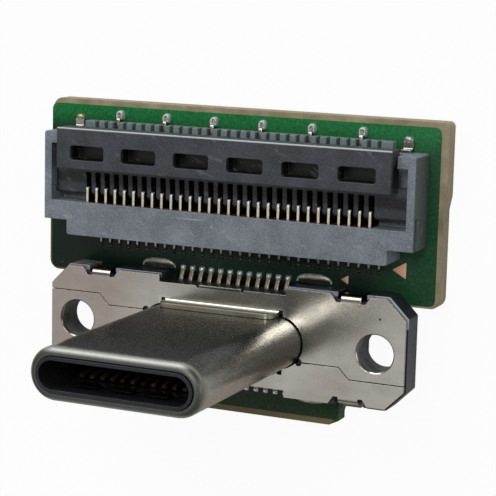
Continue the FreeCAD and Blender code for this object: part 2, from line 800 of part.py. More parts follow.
def lead_grooves(body, name, lift, floor, roof, depth):
    """Twelve grooves on each side of the plug's middle plane, one for each contact."""
    sketch = sketch_in(body, name, "XY", lift)
    low, high = first_lead() - groove_width / 2, first_lead() + groove_width / 2
    rectangle(sketch, low, high, floor, roof)
    rectangle(sketch, low, high, -roof, -floor)
    cut = pocket(body, name + "_cut", sketch, depth)
    repeat(body, name + "_row", cut, sketch, "H_Axis", pitch, PLUG_LEADS)


def contact_carrier():
    body = new_body("contact_carrier")
    outline = sketch_in(body, "carrier_outline", "XY", above(carrier_rear))
    stadium(outline, plug_core_width(), plug_core_height())
    pad(body, "carrier_pad", outline, carrier_front - carrier_rear)
    stem = sketch_in(body, "stem_outline", "XY", face)
    rectangle(stem, -stem_half_width, stem_half_width, -stem_half_height, stem_half_height)
    pad(body, "stem_pad", stem, carrier_rear)
    lead_grooves(body, "carrier_grooves", above(carrier_front), groove_floor, tube_height / 2,
                 carrier_front - carrier_rear)
    slot = sketch_in(body, "latch_slot", "XY", above(carrier_front))
    reach, half = latch_outer + latch_gap, latch_sheet / 2 + latch_gap
    rectangle(slot, -reach, reach, -half, half)
    pocket(body, "latch_slot_cut", slot, carrier_front - latch_rear)
    return body


def plug_insulator():
    body = new_body("plug_insulator")
    outline = sketch_in(body, "insulator_outline", "XY", above(carrier_front))
    stadium(outline, plug_core_width(), plug_core_height())
    shoulder = tube_reach - tube_lip_depth - fit_gap
    pad(body, "insulator_pad", outline, shoulder - carrier_front)
    nose = sketch_in(body, "nose_outline", "XY", above(shoulder))
    curl = (tube_lip_curl - fit_gap / 2) * 2
    stadium(nose, plug_core_width() - curl, plug_core_height() - curl)
    front = tube_reach + nose_rise
    pad(body, "nose_pad", nose, front - shoulder)
    mouth = sketch_in(body, "mouth", "XY", above(front))
    stadium(mouth, plug_core_width() - mouth_rim * 2, mouth_height())
    pocket(body, "mouth_cut", mouth)
    lead_grooves(body, "insulator_grooves", above(tube_reach - groove_end), groove_floor, groove_roof,
                 tube_reach - groove_end - carrier_front)
    sides = sketch_in(body, "latch_grooves", "XY", above(tube_reach - latch_tip_back + latch_sheet))
    half = latch_sheet / 2 + latch_gap
    reach = latch_outer + latch_gap
    rectangle(sides, -reach, reach, -half, half)
    pocket(body, "latch_groove_cut", sides, tube_reach - latch_tip_back + latch_sheet - carrier_front)
    inner = spring_row - spring_sheet / 2 - latch_gap
    recess = sketch_in(body, "spring_recess", "XY", above(tube_reach - spring_root_back))
    for low, high in ((inner, tube_height / 2), (-(tube_height / 2), -inner)):
        rectangle(recess, -spring_half - fit_gap, spring_half + fit_gap, low, high)
    pocket(body, "spring_recess_cut", recess, spring_rear_back + fit_gap - spring_root_back)
    windows = sketch_in(body, "finger_windows", "XY", above(tube_reach - spring_root_back + finger_width))
    half_finger = finger_width / 2 + fit_gap
    for low, high in ((mouth_height() / 2 - fit_gap, tube_height / 2),
                      (-(tube_height / 2), fit_gap - mouth_height() / 2)):
        rectangle(windows, -finger_pitch - half_finger, half_finger - finger_pitch, low, high)
    cut = pocket(body, "finger_window_cut", windows, finger_width + fit_gap)
    repeat(body, "finger_window_row", cut, windows, "H_Axis", finger_pitch, SPRING_FINGERS)
    return body


# Plug contacts: a bumped beam in front, a bend outward through the window and a foot on the board

def plug_contact():
    tip = tube_reach - beam_tip_back
    foot = lead_thickness / 2
    points = [(beam_tip_row, tip), (bump_row, tube_reach - bump_back), (lead_row, tube_reach - beam_root_back),
              (lead_row, lead_exit), (lead_drop, lead_exit), (lead_drop + lead_slope, foot), (lead_toe, foot)]
    bends = [lead_thickness * 3, lead_thickness * 6] + [lead_thickness] * 3
    return strip(points, bends, lead_thickness, -(lead_width / 2), lead_width / 2, coin=True)


def plug_contacts():
    contact = plug_contact()
    group("upper_plug_contacts", row_of(contact, pitch, PLUG_LEADS))
    group("lower_plug_contacts", row_of(turned(contact), pitch, PLUG_LEADS))


def side_latches():
    """One stamped sheet in the plug's middle plane: a base and two barbed arms."""
    body = new_body("side_latches")
    sketch = sketch_in(body, "latch_outline", "XZ", 0)
    tip = above(tube_reach - latch_tip_back)
    barb = above(tube_reach - latch_barb_back)
    arm = [(latch_outer, above(latch_rear)), (latch_outer, tip), (latch_inner, tip),
           (latch_inner - latch_barb, barb), (latch_inner, barb - latch_barb), (latch_inner, above(latch_fork))]
    polygon(sketch, arm + [(-x, z) for x, z in reversed(arm)])
    pad(body, "latch_pad", sketch, latch_sheet, centred=True)
    return body


def ground_spring():
    """A sheet behind the plug's lip whose fingers reach into the mouth."""
    root = tube_reach - spring_root_back
    base = strip([(spring_row, tube_reach - spring_rear_back), (spring_row, root)], [],
                 spring_sheet, -spring_half, spring_half)
    points = [(spring_row, root - spring_sheet), (spring_row, root + spring_sheet * 0.7),
              (finger_row, root + finger_width * 0.5), (finger_row + spring_sheet, root + finger_width * 0.85)]
    bends = [spring_sheet, spring_sheet * 1.5]
    half = finger_width / 2
    fingers = row_of(strip(points, bends, spring_sheet, -half, half, coin=True), finger_pitch, SPRING_FINGERS)
    return base.multiFuse(fingers).removeSplitter()


# Cable connector

def cable_housing():
    body = new_body("cable_housing")
    outline = sketch_in(body, "housing_outline", "XY", face)
    half = [(housing_half, wall_front), (housing_half, wall_rear), (block_half, wall_rear), (block_half, block_rear)]
    right = [(floor_half, floor_front), (floor_half, wall_front)] + half
    polygon(outline, right + [(-x, y) for x, y in reversed(right)])
    pad(body, "housing_pad", outline, housing_height)
    well = sketch_in(body, "cable_well", "XY", above(housing_height))
    inner = housing_half - housing_wall
    side = [(inner, block_front), (inner, hook_rear), (hook_inner, hook_rear), (hook_inner, floor_front + fit_gap)]
    polygon(well, side + [(-x, y) for x, y in reversed(side)])
    pocket(body, "cable_well_cut", well, housing_height - floor_height)
    slits = sketch_in(body, "side_slits", "XY", above(slit_high))
    depth = housing_half - slit_depth
    for low, high in ((depth, housing_half + fit_gap), (-housing_half - fit_gap, -depth)):
        rectangle(slits, low, high, wall_rear - fit_gap, slit_front)
    pocket(body, "side_slit_cuts", slits, slit_high - slit_low)
    corners = [(side * x, y, None) for side in (-1, 1)
               for x, y in ((float(housing_half), wall_front), (float(block_half), block_rear))]
    fillet(body, "housing_corners", corners, ALONG_Z, housing_corner)
    bearings = sketch_in(body, "pin_bearings", "YZ", 0)
    circle(bearings, pivot_place, above(pivot_level), pin_radius + pin_clearance)
    pocket(body, "pin_bearing_cuts", bearings, (comb_half + pin_reach + pin_clearance) * 2, centred=True)
    contact_slots(body)
    pin_slots(body)
    return body


def contact_slots(body):
    """A narrow slot for each signal contact, through the rear block, the floor and the floor's front lip."""
    sketch = sketch_in(body, "contact_slot", "YZ", -(pitch * ((CABLE_CONTACTS - 1) / 2)))
    rear = block_rear - fit_gap
    under = face - fit_gap
    mouth_end = floor_front + fit_gap
    polygon(sketch, [(rear, under), (rear, above(slot_roof)), (block_front + fit_gap, above(slot_roof)),
                     (block_front + fit_gap, above(floor_height + fit_gap)),
                     (mouth_end, above(floor_height + fit_gap)), (mouth_end, above(floor_skin)),
                     (web_front + fit_gap, above(floor_skin)), (web_front + fit_gap, under)])
    cut = pocket(body, "contact_slot_cut", sketch, slot_width, centred=True)
    repeat(body, "contact_slot_row", cut, sketch, "N_Axis", pitch, CABLE_CONTACTS)


def pin_slots(body):
    """Openings in the floor's front lip for the pins at the mouth."""
    sketch = sketch_in(body, "pin_slot", "YZ", -(pin_pitch * ((MOUTH_PINS - 1) / 2)))
    low = above(pin_level - pin_sheet / 2 - fit_gap)
    rectangle(sketch, pin_root - fit_gap, floor_front + fit_gap, low, above(floor_height + fit_gap))
    cut = pocket(body, "pin_slot_cut", sketch, pin_width + fit_gap * 2, centred=True)
    repeat(body, "pin_slot_row", cut, sketch, "N_Axis", pin_pitch, MOUTH_PINS)


def cable_lock_bar():
    """The flip lock: a windowed bar, a comb with an axle under the contact hooks, and a pin at each end."""
    body = new_body("cable_lock_bar")
    bar = sketch_in(body, "bar_outline", "XY", above(bar_low))
    rectangle(bar, -bar_half, bar_half, bar_rear, bar_front)
    pad(body, "bar_pad", bar, bar_high - bar_low)
    edges = [(None, y, above(bar_high)) for y in (bar_front, bar_rear)]
    fillet(body, "bar_edges", edges, ALONG_X, bar_round)
    comb = sketch_in(body, "comb_profile", "YZ", 0)
    low, high = above(pivot_level - pivot_radius), above(pivot_level + pivot_radius)
    rear, root = pivot_place - pivot_radius, bar_rear + pivot_radius
    bevel = pivot_radius * 0.6
    polygon(comb, [(rear, low + bevel), (rear + bevel, low), (root, low), (root, above(comb_high)),
                   (pivot_place, high), (rear + bevel, high), (rear, high - bevel)])
    pad(body, "comb_pad", comb, comb_half * 2, centred=True)
    slot = sketch_in(body, "comb_slot", "YZ", -(pitch * ((CABLE_CONTACTS - 1) / 2)))
    rectangle(slot, pivot_place - pivot_radius - fit_gap, comb_slot_front, low - fit_gap,
              above(comb_high + fit_gap))
    cut = pocket(body, "comb_slot_cut", slot, comb_slot_width, centred=True)
    repeat(body, "comb_slot_row", cut, slot, "N_Axis", pitch, CABLE_CONTACTS)
    axle = sketch_in(body, "axle_profile", "YZ", 0)
    flat = axle_radius * 0.5
    side = axle_radius * math.cos(math.pi / 6)
    level = above(pivot_level)
    polygon(axle, [(pivot_place - side, level - flat), (pivot_place, level - axle_radius),
                   (pivot_place + side, level - flat), (pivot_place + side, level + flat),
                   (pivot_place, level + axle_radius), (pivot_place - side, level + flat)])
    pad(body, "axle_pad", axle, comb_half * 2 - pivot_radius, centred=True)
    for word, start in (("right", comb_half), ("left", -(comb_half + pin_reach))):
        pin = sketch_in(body, word + "_pin", "YZ", start)
        circle(pin, pivot_place, level, pin_radius)
        pad(body, word + "_pin_pad", pin, pin_reach)
    windows = sketch_in(body, "bar_window", "XY", above(bar_high))
    first = -(window_pitch * ((WINDOWS - 1) / 2))
    wide, tall = window_width / 2, window_height / 2
    corner = [(wide, tall - window_corner), (wide - window_corner, tall)]
    upper = corner + [(-x, y) for x, y in reversed(corner)]
    polygon(windows, [(first + x, window_place + y) for x, y in upper + [(-x, -y) for x, y in upper]])
    cut = pocket(body, "bar_window_cut", windows, window_depth)
    repeat(body, "bar_window_row", cut, windows, "H_Axis", window_pitch, WINDOWS)
    return body


def signal_contact():
    """A stamped fork: a tail on the board, an upper beam that hooks over the axle, a bumped lower beam."""
    under = contact_top - beam_depth
    neck = lower_end - (lower_end - lower_bump_place) * 2
    points = [(tail_end, face * 0), (tail_end, tail_height), (web_rear, tail_height), (web_rear, contact_top),
              (hook_tip, contact_top), (hook_tip, hook_drop), (hook_tip - hook_thickness, hook_drop),
              (hook_tip - hook_thickness, under), (web_front, under), (web_front, lower_high),
              (neck, lower_high), (lower_bump_place, lower_bump), (lower_end, lower_high), (lower_end, lower_low),
              (web_front, lower_low), (web_front, face * 0)]
    half = contact_sheet / 2
    solid = slab(points, -half, half)
    return chamfered(solid, [(hook_tip, contact_top, beam_depth / 2), (web_rear, contact_top, beam_depth / 2)])


def mouth_pin():
    foot = pin_sheet / 2
    return strip([(pin_end, foot), (pin_bend, foot), (pin_bend, pin_level), (pin_root, pin_level)],
                 [pin_sheet * 0.75] * 2, pin_sheet, -(pin_width / 2), pin_width / 2, coin=True)


def hold_down():
    """A foot on the board and a riser against the housing's front corner."""
    foot = pin_sheet / 2
    riser = wall_front + pin_sheet / 2
    return strip([(hold_down_end, foot), (riser, foot), (riser, hold_down_rise)], [pin_sheet],
                 pin_sheet, hold_down_inner, hold_down_outer)


# Solder: a sloping fillet from each toe down to the board

def solder_wedge(toe, away, width):
    """A fillet that starts at the toe's end face; away is 1 or -1 along Y."""
    reach = solder_reach * away
    points = [(toe, face * 0), (toe + reach, face * 0), (toe + reach * 0.55, solder_height * 0.8),
              (toe, solder_height)]
    return slab(points, -(width / 2), width / 2)


def solder_joints():
    lead = solder_wedge(lead_toe, 1, solder_width)
    group("plug_lead_solder", row_of(lead, pitch, PLUG_LEADS) + row_of(turned(lead), pitch, PLUG_LEADS))
    group("contact_tail_solder", row_of(solder_wedge(tail_end, -1, solder_width), pitch, CABLE_CONTACTS))
    group("pin_solder", row_of(solder_wedge(pin_end, 1, solder_width), pin_pitch, MOUTH_PINS))
    width = hold_down_outer - hold_down_inner
    corner = solder_wedge(hold_down_end, 1, width)
    group("hold_down_solder", row_of(corner, hold_down_inner + hold_down_outer, 2))
    foot = solder_wedge(foot_reach, 1, foot_outer - foot_inner + foot_pad_rim * 2)
    feet = row_of(foot, foot_inner + foot_outer, 2)
    group("foot_solder", feet + [turned(solid) for solid in feet])


circuit_board()
copper_marks()
flange_body()
flange_half("upper_flange", 1)
flange_half("lower_flange", -1)
plug_tube()
contact_carrier()
plug_insulator()
plug_contacts()
side_latches()
piece("upper_ground_spring", ground_spring())
piece("lower_ground_spring", turned(ground_spring()))
cable_housing()
cable_lock_bar()
group("signal_contacts", row_of(signal_contact(), pitch, CABLE_CONTACTS))
for i, solid in enumerate(row_of(mouth_pin(), pin_pitch, MOUTH_PINS)):
    piece("mouth_pin_%d" % (i + 1), solid)
right_hold_down = hold_down()
left_hold_down = right_hold_down.mirror(Vector(0, 0, 0), ALONG_X)
piece("left_hold_down", left_hold_down)
piece("right_hold_down", right_hold_down)
solder_joints()
doc.recompute()

NODES = ["circuit_board", "copper_marks", "flange_body", "upper_flange", "lower_flange", "plug_tube",
         "contact_carrier", "plug_insulator", "upper_plug_contacts", "lower_plug_contacts", "side_latches",
         "upper_ground_spring", "lower_ground_spring", "cable_housing", "cable_lock_bar", "signal_contacts",
         "left_hold_down", "right_hold_down", "plug_lead_solder", "contact_tail_solder", "pin_solder",
         "hold_down_solder", "foot_solder"] + ["mouth_pin_%d" % (i + 1) for i in range(MOUTH_PINS)]

for thing in doc.Objects:
    if "Invalid" in thing.State or "Error" in thing.State:
        raise RuntimeError(thing.Name + " failed: " + ", ".join(thing.State))

shapes = {}
for node in NODES:
    shape = doc.getObjectsByLabel(node)[0].Shape
    if shape.isNull() or not shape.isValid():
        raise RuntimeError(node + " has no valid shape")
    shapes[node] = shape

os.makedirs("parts", exist_ok=True)
for node, shape in shapes.items():
    shape.exportStep("parts/%s.step" % node)
    box = shape.BoundBox
    print("%-22s %2d solids %9.4f mm3  x %7.3f %7.3f  y %7.3f %7.3f  z %7.3f %7.3f" % (
        node, len(shape.Solids), shape.Volume, box.XMin, box.XMax, box.YMin, box.YMax, box.ZMin, box.ZMax))
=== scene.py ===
import math

import bmesh
import bpy
import numpy as np
from mathutils import Matrix


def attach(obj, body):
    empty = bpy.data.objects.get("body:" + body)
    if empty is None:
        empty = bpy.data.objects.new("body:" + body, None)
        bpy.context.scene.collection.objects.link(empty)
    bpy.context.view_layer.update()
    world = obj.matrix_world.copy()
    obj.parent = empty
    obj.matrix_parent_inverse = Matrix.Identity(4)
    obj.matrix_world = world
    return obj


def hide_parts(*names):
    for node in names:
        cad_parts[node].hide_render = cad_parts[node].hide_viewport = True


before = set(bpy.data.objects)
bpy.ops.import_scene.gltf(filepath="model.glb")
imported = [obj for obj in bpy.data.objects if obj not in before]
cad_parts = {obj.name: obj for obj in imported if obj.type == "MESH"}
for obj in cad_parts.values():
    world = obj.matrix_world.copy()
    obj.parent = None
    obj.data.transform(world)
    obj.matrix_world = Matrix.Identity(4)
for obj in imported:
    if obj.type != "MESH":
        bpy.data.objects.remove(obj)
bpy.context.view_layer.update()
mm = 0.001
boardFace = 0.8  # height of the board's front face, in mm, on which everything stands


def srgb(red, green, blue):
    # a colour as a picture shows it (0-255), turned into the linear light that shaders work in
    level = np.array([red, green, blue]) / 255.0
    linear = np.where(level <= 0.04045, level / 12.92, ((level + 0.055) / 1.055) ** 2.4)
    return (*linear.tolist(), 1.0)


def evenly(value):
    return (value, value, value)


# shader groups that several finishes share

texture = {
    # the detail and roughness of each noise
    "mottle": (3.0, 0.55), "grit": (4.0, 0.65), "lines": (2.0, 0.6), "stray": (1.0, 0.4),
    "pitCells": 0.55, "pitEdge": (0.05, 0.32), "strayTurn": (0.35, 0.2, 0.5), "strayEdge": (0.66, 0.74),
    "speckChoice": (0.72, 0.78)}


def connect(tree, source, socket):
    # a socket takes what another node puts out, or else a fixed value
    if isinstance(source, bpy.types.NodeSocket):
        tree.links.new(source, socket)
    else:
        socket.default_value = source


def arithmeticStep(tree, kind, operation, sources):
    # MULTIPLY_ADD is the first source times the second, plus the third
    node = tree.nodes.new(kind)
    node.operation = operation
    for source, socket in zip(sources, node.inputs):
        connect(tree, source, socket)
    return node.outputs[0]


def numberStep(tree, operation, *sources):
    return arithmeticStep(tree, "ShaderNodeMath", operation, sources)


def vectorStep(tree, operation, *sources):
    return arithmeticStep(tree, "ShaderNodeVectorMath", operation, sources)


def ranged(tree, value, low, high, start=0.3, end=0.7):
    # a value between start and end becomes one between low and high
    node = tree.nodes.new("ShaderNodeMapRange")
    ends = {"Value": value, "From Min": start, "From Max": end, "To Min": low, "To Max": high}
    for word, source in ends.items():
        connect(tree, source, node.inputs[word])
    return node.outputs["Result"]


def scaledNoise(tree, vector, scale, detail, roughness):
    noise = tree.nodes.new("ShaderNodeTexNoise")
    for word, value in (("Scale", 1.0), ("Detail", detail), ("Roughness", roughness)):
        noise.inputs[word].default_value = value
    tree.links.new(vectorStep(tree, "MULTIPLY", vector, scale), noise.inputs["Vector"])
    return noise.outputs["Fac"]


def scaledCells(tree, vector, scale, size):
    cells = tree.nodes.new("ShaderNodeTexVoronoi")
    cells.inputs["Scale"].default_value = size
    tree.links.new(vectorStep(tree, "MULTIPLY", vector, scale), cells.inputs["Vector"])
    return cells.outputs


def newGroup(name, results, **values):
    # a group of nodes that takes the piece's coordinates and these values, each with its default
    group = bpy.data.node_groups.new(name, "ShaderNodeTree")
    for word, value in {"Vector": (0, 0, 0), **values}.items():
        kind = "Vector" if isinstance(value, tuple) else "Float"
        socket = group.interface.new_socket(name=word, in_out="INPUT", socket_type="NodeSocket" + kind)
        socket.default_value = value
    for word in results:
        group.interface.new_socket(name=word, in_out="OUTPUT", socket_type="NodeSocketFloat")
    return group, group.nodes.new("NodeGroupInput").outputs, group.nodes.new("NodeGroupOutput").inputs


def buildMottle():
    # soft patches: noise on the piece's own coordinates, spread between two values
    group, given, result = newGroup("surfaceMottle", ["Value"], scale=(900, 900, 900), low=0.0, high=1.0)
    noise = scaledNoise(group, given["Vector"], given["scale"], *texture["mottle"])
    group.links.new(ranged(group, noise, given["low"], given["high"]), result["Value"])
    return group


def buildGrain():
    # fine grit with a few deeper pits, for bump and for small changes of gloss
    group, given, result = newGroup("fineGrain", ["Height", "Mask"], scale=(9000, 9000, 9000), pits=0.4)
    grit = scaledNoise(group, given["Vector"], given["scale"], *texture["grit"])
    cells = scaledCells(group, given["Vector"], given["scale"], texture["pitCells"])
    pit = ranged(group, cells["Distance"], 0.0, 1.0, *texture["pitEdge"])
    mixed = group.nodes.new("ShaderNodeMix")
    for word, source in (("Factor", given["pits"]), ("A", grit), ("B", pit)):
        group.links.new(source, mixed.inputs[word])
    group.links.new(mixed.outputs["Result"], result["Height"])
    group.links.new(grit, result["Mask"])
    return group


def buildDrawnLines():
    # the lines that rolling or drawing leaves: noise stretched one way, less a few stray scratches
    group, given, result = newGroup("drawnLines", ["Height", "Mask"], along=(30000, 30000, 300),
                                    scratches=0.3)
    lines = scaledNoise(group, given["Vector"], given["along"], *texture["lines"])
    turned = group.nodes.new("ShaderNodeVectorRotate")
    turned.rotation_type = "EULER_XYZ"
    turned.inputs["Rotation"].default_value = texture["strayTurn"]
    group.links.new(given["Vector"], turned.inputs["Vector"])
    stray = scaledNoise(group, turned.outputs["Vector"], given["along"], *texture["stray"])
    sharp = ranged(group, stray, 0.0, 1.0, *texture["strayEdge"])
    cut = numberStep(group, "MULTIPLY", sharp, given["scratches"])
    group.links.new(numberStep(group, "SUBTRACT", lines, cut), result["Height"])
    group.links.new(sharp, result["Mask"])
    return group


def buildRegion():
    # 1 inside a box and 0 outside it: on each axis, clamp((v - low) / soft + 1/2) times
    # clamp((high - v) / soft + 1/2)
    group, given, result = newGroup("boxRegion", ["Value"], low=evenly(-1.0), high=evenly(1.0),
                                    soft=evenly(0.0001), amount=1.0)
    sides = []
    for first, second in (("Vector", "low"), ("high", "Vector")):
        apart = vectorStep(group, "SUBTRACT", given[first], given[second])
        level = vectorStep(group, "ADD", vectorStep(group, "DIVIDE", apart, given["soft"]), evenly(0.5))
        level = vectorStep(group, "MAXIMUM", level, evenly(0))
        sides.append(vectorStep(group, "MINIMUM", level, evenly(1)))
    parts = group.nodes.new("ShaderNodeSeparateXYZ")
    group.links.new(vectorStep(group, "MULTIPLY", *sides), parts.inputs[0])
    value = parts.outputs[0]
    for factor in (parts.outputs[1], parts.outputs[2], given["amount"]):
        value = numberStep(group, "MULTIPLY", value, factor)
    group.links.new(value, result["Value"])
    return group


def buildSpecks():
    # stray specks: the cores of a few cells among many
    group, given, result = newGroup("straySpecks", ["Value"], scale=(3000, 3000, 3000), size=0.12)
    cells = scaledCells(group, given["Vector"], given["scale"], 1.0)
    core = ranged(group, cells["Distance"], 1.0, 0.0, 0.0, given["size"])
    pick = group.nodes.new("ShaderNodeSeparateColor")
    group.links.new(cells["Color"], pick.inputs["Color"])
    chosen = ranged(group, pick.outputs[0], 0.0, 1.0, *texture["speckChoice"])
    group.links.new(numberStep(group, "MULTIPLY", core, chosen), result["Value"])
    return group


mottleGroup, grainGroup, linesGroup = buildMottle(), buildGrain(), buildDrawnLines()
regionGroup, specksGroup = buildRegion(), buildSpecks()
print("shader groups ready")


# finishes: scales are in waves per metre, bumps in metres, and the areas of a tint in mm

def startFinish(name):
    material = bpy.data.materials.new(name)
    material.use_nodes = True
    tree = material.node_tree
    vector = tree.nodes.new("ShaderNodeTexCoord").outputs["Object"]
    return material, tree, tree.nodes["Principled BSDF"].inputs, vector


def placed(tree, group, vector, **values):
    # a shared group with its own values in this finish
    node = tree.nodes.new("ShaderNodeGroup")
    node.node_tree = group
    tree.links.new(vector, node.inputs["Vector"])
    for word, value in values.items():
        node.inputs[word].default_value = value
    return node.outputs


def blendColours(tree, factor, first, second):
    mix = tree.nodes.new("ShaderNodeMix")
    mix.data_type = "RGBA"
    tree.links.new(factor, mix.inputs["Factor"])
    colourInputs = [socket for socket in mix.inputs if socket.type == "RGBA"]
    for colour, socket in zip((first, second), colourInputs):
        connect(tree, colour, socket)
    return next(socket for socket in mix.outputs if socket.type == "RGBA")


def addBump(tree, surface, height, distance):
    bump = tree.nodes.new("ShaderNodeBump")
    bump.inputs["Distance"].default_value = distance
    bump.inputs["Strength"].default_value = 1.0
    tree.links.new(height, bump.inputs["Height"])
    tree.links.new(bump.outputs["Normal"], surface["Normal"])


def inArea(tree, vector, area):
    # the mask of a box, where None leaves a side open: soft is the width of its rim, and broken is the scale
    # of the patches that break it up
    sides = [area.get(axis, (None, None)) for axis in "xyz"]
    mask = placed(tree, regionGroup, vector, amount=area.get("amount", 1.0),
                  soft=evenly(area.get("soft", 0.1) * mm),
                  low=tuple(-1.0 if low is None else low * mm for low, high in sides),
                  high=tuple(1.0 if high is None else high * mm for low, high in sides))["Value"]
    if "broken" not in area:
        return mask
    patchy = placed(tree, mottleGroup, vector, scale=evenly(area["broken"]))["Value"]
    return numberStep(tree, "MULTIPLY", mask, patchy)


def tinted(tree, vector, colour, areas):
    for area in areas:
        colour = blendColours(tree, inArea(tree, vector, area), colour, area["colour"])
    return colour


def twoToned(tree, vector, coarse, fine, dark, light):
    # two colours, mixed by fine dots and by wide patches
    dotShare, patchShare = 0.6, 0.4
    patch = placed(tree, mottleGroup, vector, scale=evenly(coarse))["Value"]
    dots = placed(tree, mottleGroup, vector, scale=evenly(fine))["Value"]
    blend = numberStep(tree, "MULTIPLY_ADD", dots, dotShare, numberStep(tree, "MULTIPLY", patch, patchShare))
    return blendColours(tree, blend, dark, light)


plastics = {"patch": 900, "dots": 15000, "grit": 16000, "pits": 0.35, "bump": 0.0000012,
            "spread": (-0.08, 0.1), "spots": 3200, "along": (900, 3600, 3600), "fleck": srgb(170, 176, 182)}


def plasticFinish(name, dark, light, roughness, specular=0.4, areas=(), specks=0.0, scratches=0.0):
    material, tree, surface, vector = startFinish(name)
    grit = placed(tree, grainGroup, vector, scale=evenly(plastics["grit"]), pits=plastics["pits"])
    colour = twoToned(tree, vector, plastics["patch"], plastics["dots"], dark, light)
    colour = tinted(tree, vector, colour, areas)
    if specks:
        spots = placed(tree, specksGroup, vector, scale=evenly(plastics["spots"]), size=specks)["Value"]
        colour = blendColours(tree, spots, colour, plastics["fleck"])
    if scratches:
        lines = placed(tree, linesGroup, vector, along=plastics["along"])["Mask"]
        lines = numberStep(tree, "MULTIPLY", lines, scratches)
        colour = blendColours(tree, lines, colour, plastics["fleck"])
    tree.links.new(colour, surface["Base Color"])
    ends = [roughness + change for change in plastics["spread"]]
    tree.links.new(ranged(tree, grit["Mask"], *ends), surface["Roughness"])
    surface["Specular IOR Level"].default_value = specular
    addBump(tree, surface, grit["Height"], plastics["bump"])
    return material


metals = {"spots": 5200, "spotShare": 0.7, "spotColour": srgb(90, 86, 80), "finer": 2.7, "lineShare": 0.12}


def metalFinish(name, light, dark, rough, along, bump=0.0000004, scratches=0.3, patches=(500, 500, 500),
                areas=(), roughAreas=(), specks=0.0, metallic=1.0):
    material, tree, surface, vector = startFinish(name)
    surface["Metallic"].default_value = metallic
    patch = placed(tree, mottleGroup, vector, scale=patches)["Value"]
    lines = placed(tree, linesGroup, vector, along=along, scratches=scratches)
    colour = tinted(tree, vector, blendColours(tree, patch, light, dark), areas)
    if specks:
        spots = placed(tree, specksGroup, vector, scale=evenly(metals["spots"]), size=specks)["Value"]
        spots = numberStep(tree, "MULTIPLY", spots, metals["spotShare"])
        colour = blendColours(tree, spots, colour, metals["spotColour"])
    tree.links.new(colour, surface["Base Color"])
    finer = tuple(scale * metals["finer"] for scale in patches)
    value = placed(tree, mottleGroup, vector, scale=finer, low=rough[0], high=rough[1])["Value"]
    value = numberStep(tree, "MULTIPLY_ADD", lines["Mask"], metals["lineShare"], value)
    for area in roughAreas:
        value = numberStep(tree, "MULTIPLY_ADD", inArea(tree, vector, area), area["add"], value)
    tree.links.new(value, surface["Roughness"])
    addBump(tree, surface, lines["Height"], bump)
    return material


carrierLook = {"dark": srgb(10, 10, 11), "light": srgb(22, 22, 24), "roughness": 0.45}
carrierPlastic = plasticFinish("carrierPlastic", **carrierLook)
print("finishes ready")


# meshes: all sizes are in mm until addPiece makes them metres

def addPiece(name, points, faces, finish, slot, replaced=(), body="root", smoothAngle=35):
    # the piece's place is in its mesh
    mesh = bpy.data.meshes.new(name)
    corners = [tuple(int(index) for index in face) for face in faces]
    mesh.from_pydata((np.asarray(points, float) * mm).tolist(), [], corners)
    mesh.validate()
    mesh.polygons.foreach_set("use_smooth", np.ones(len(mesh.polygons), bool))
    mesh.set_sharp_from_angle(angle=math.radians(smoothAngle))
    mesh.materials.append(finish)
    piece = bpy.data.objects.new(name, mesh)
    bpy.context.scene.collection.objects.link(piece)
    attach(piece, body)
    if replaced:
        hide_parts(*replaced)
    return piece


def camelName(node):
    first, *others = node.split("_")
    return first + "".join(word.capitalize() for word in others)


softening = {"flat": 1, "corner": 32, "merge": 2e-7, "segments": 2}  # angles in degrees, merge in metres


def softened(node, finish, slot, edge, name=None, body="root"):
    # a copy of a CAD node, merged to flat faces, with its edges broken as moulding or stamping leaves them
    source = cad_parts[node].data
    points = np.zeros(len(source.vertices) * 3)
    source.vertices.foreach_get("co", points)
    corners = np.zeros(len(source.loops), int)
    source.loops.foreach_get("vertex_index", corners)
    piece = addPiece(name or camelName(node), points.reshape(-1, 3) / mm, corners.reshape(-1, 3), finish,
                     slot, (node,), body)
    merged = bmesh.new()
    merged.from_mesh(piece.data)
    bmesh.ops.remove_doubles(merged, verts=merged.verts, dist=softening["merge"])
    bmesh.ops.dissolve_limit(merged, angle_limit=math.radians(softening["flat"]), verts=merged.verts,
                             edges=merged.edges)
    merged.to_mesh(piece.data)
    merged.free()
    piece.data.set_sharp_from_angle(angle=math.radians(softening["corner"]))
    rounding = piece.modifiers.new("brokenEdges", "BEVEL")
    rounding.width = edge * mm
    rounding.segments = softening["segments"]
    rounding.limit_method = "ANGLE"
    rounding.angle_limit = math.radians(softening["corner"])
    rounding.use_clamp_overlap = False
    rounding.harden_normals = True
    return piece


def unit(vectors):
    # each vector divided by its length
    return vectors / np.linalg.norm(vectors, axis=-1, keepdims=True)


def gridFaces(rows, columns, closedRows=False, closedColumns=True):
    # the quads of a grid whose points are stored row by row
    row, column = np.meshgrid(np.arange(rows if closedRows else rows - 1),
                              np.arange(columns if closedColumns else columns - 1), indexing="ij")
    nextRow, nextColumn = (row + 1) % rows, (column + 1) % columns
    quads = np.stack([row * columns + column, row * columns + nextColumn,
                      nextRow * columns + nextColumn, nextRow * columns + column], axis=-1)
    return quads.reshape(-1, 4)


def cappedFaces(rows, columns):
    # the quads of rings set one after another, with a face over the first ring and one over the last
    faces = gridFaces(rows, columns).tolist()
    faces.append(list(range(columns))[::-1])
    faces.append(list(range((rows - 1) * columns, rows * columns)))
    return faces


def copied(points, faces, shifts):
    # the same shape once at each shift: every point is point + shift
    points = np.asarray(points, float)
    everyPoint = (points[None] + np.asarray(shifts, float)[:, None]).reshape(-1, 3)
    everyFace = [[index + copy * len(points) for index in face]
                 for copy in range(len(shifts)) for face in faces]
    return everyPoint, everyFace


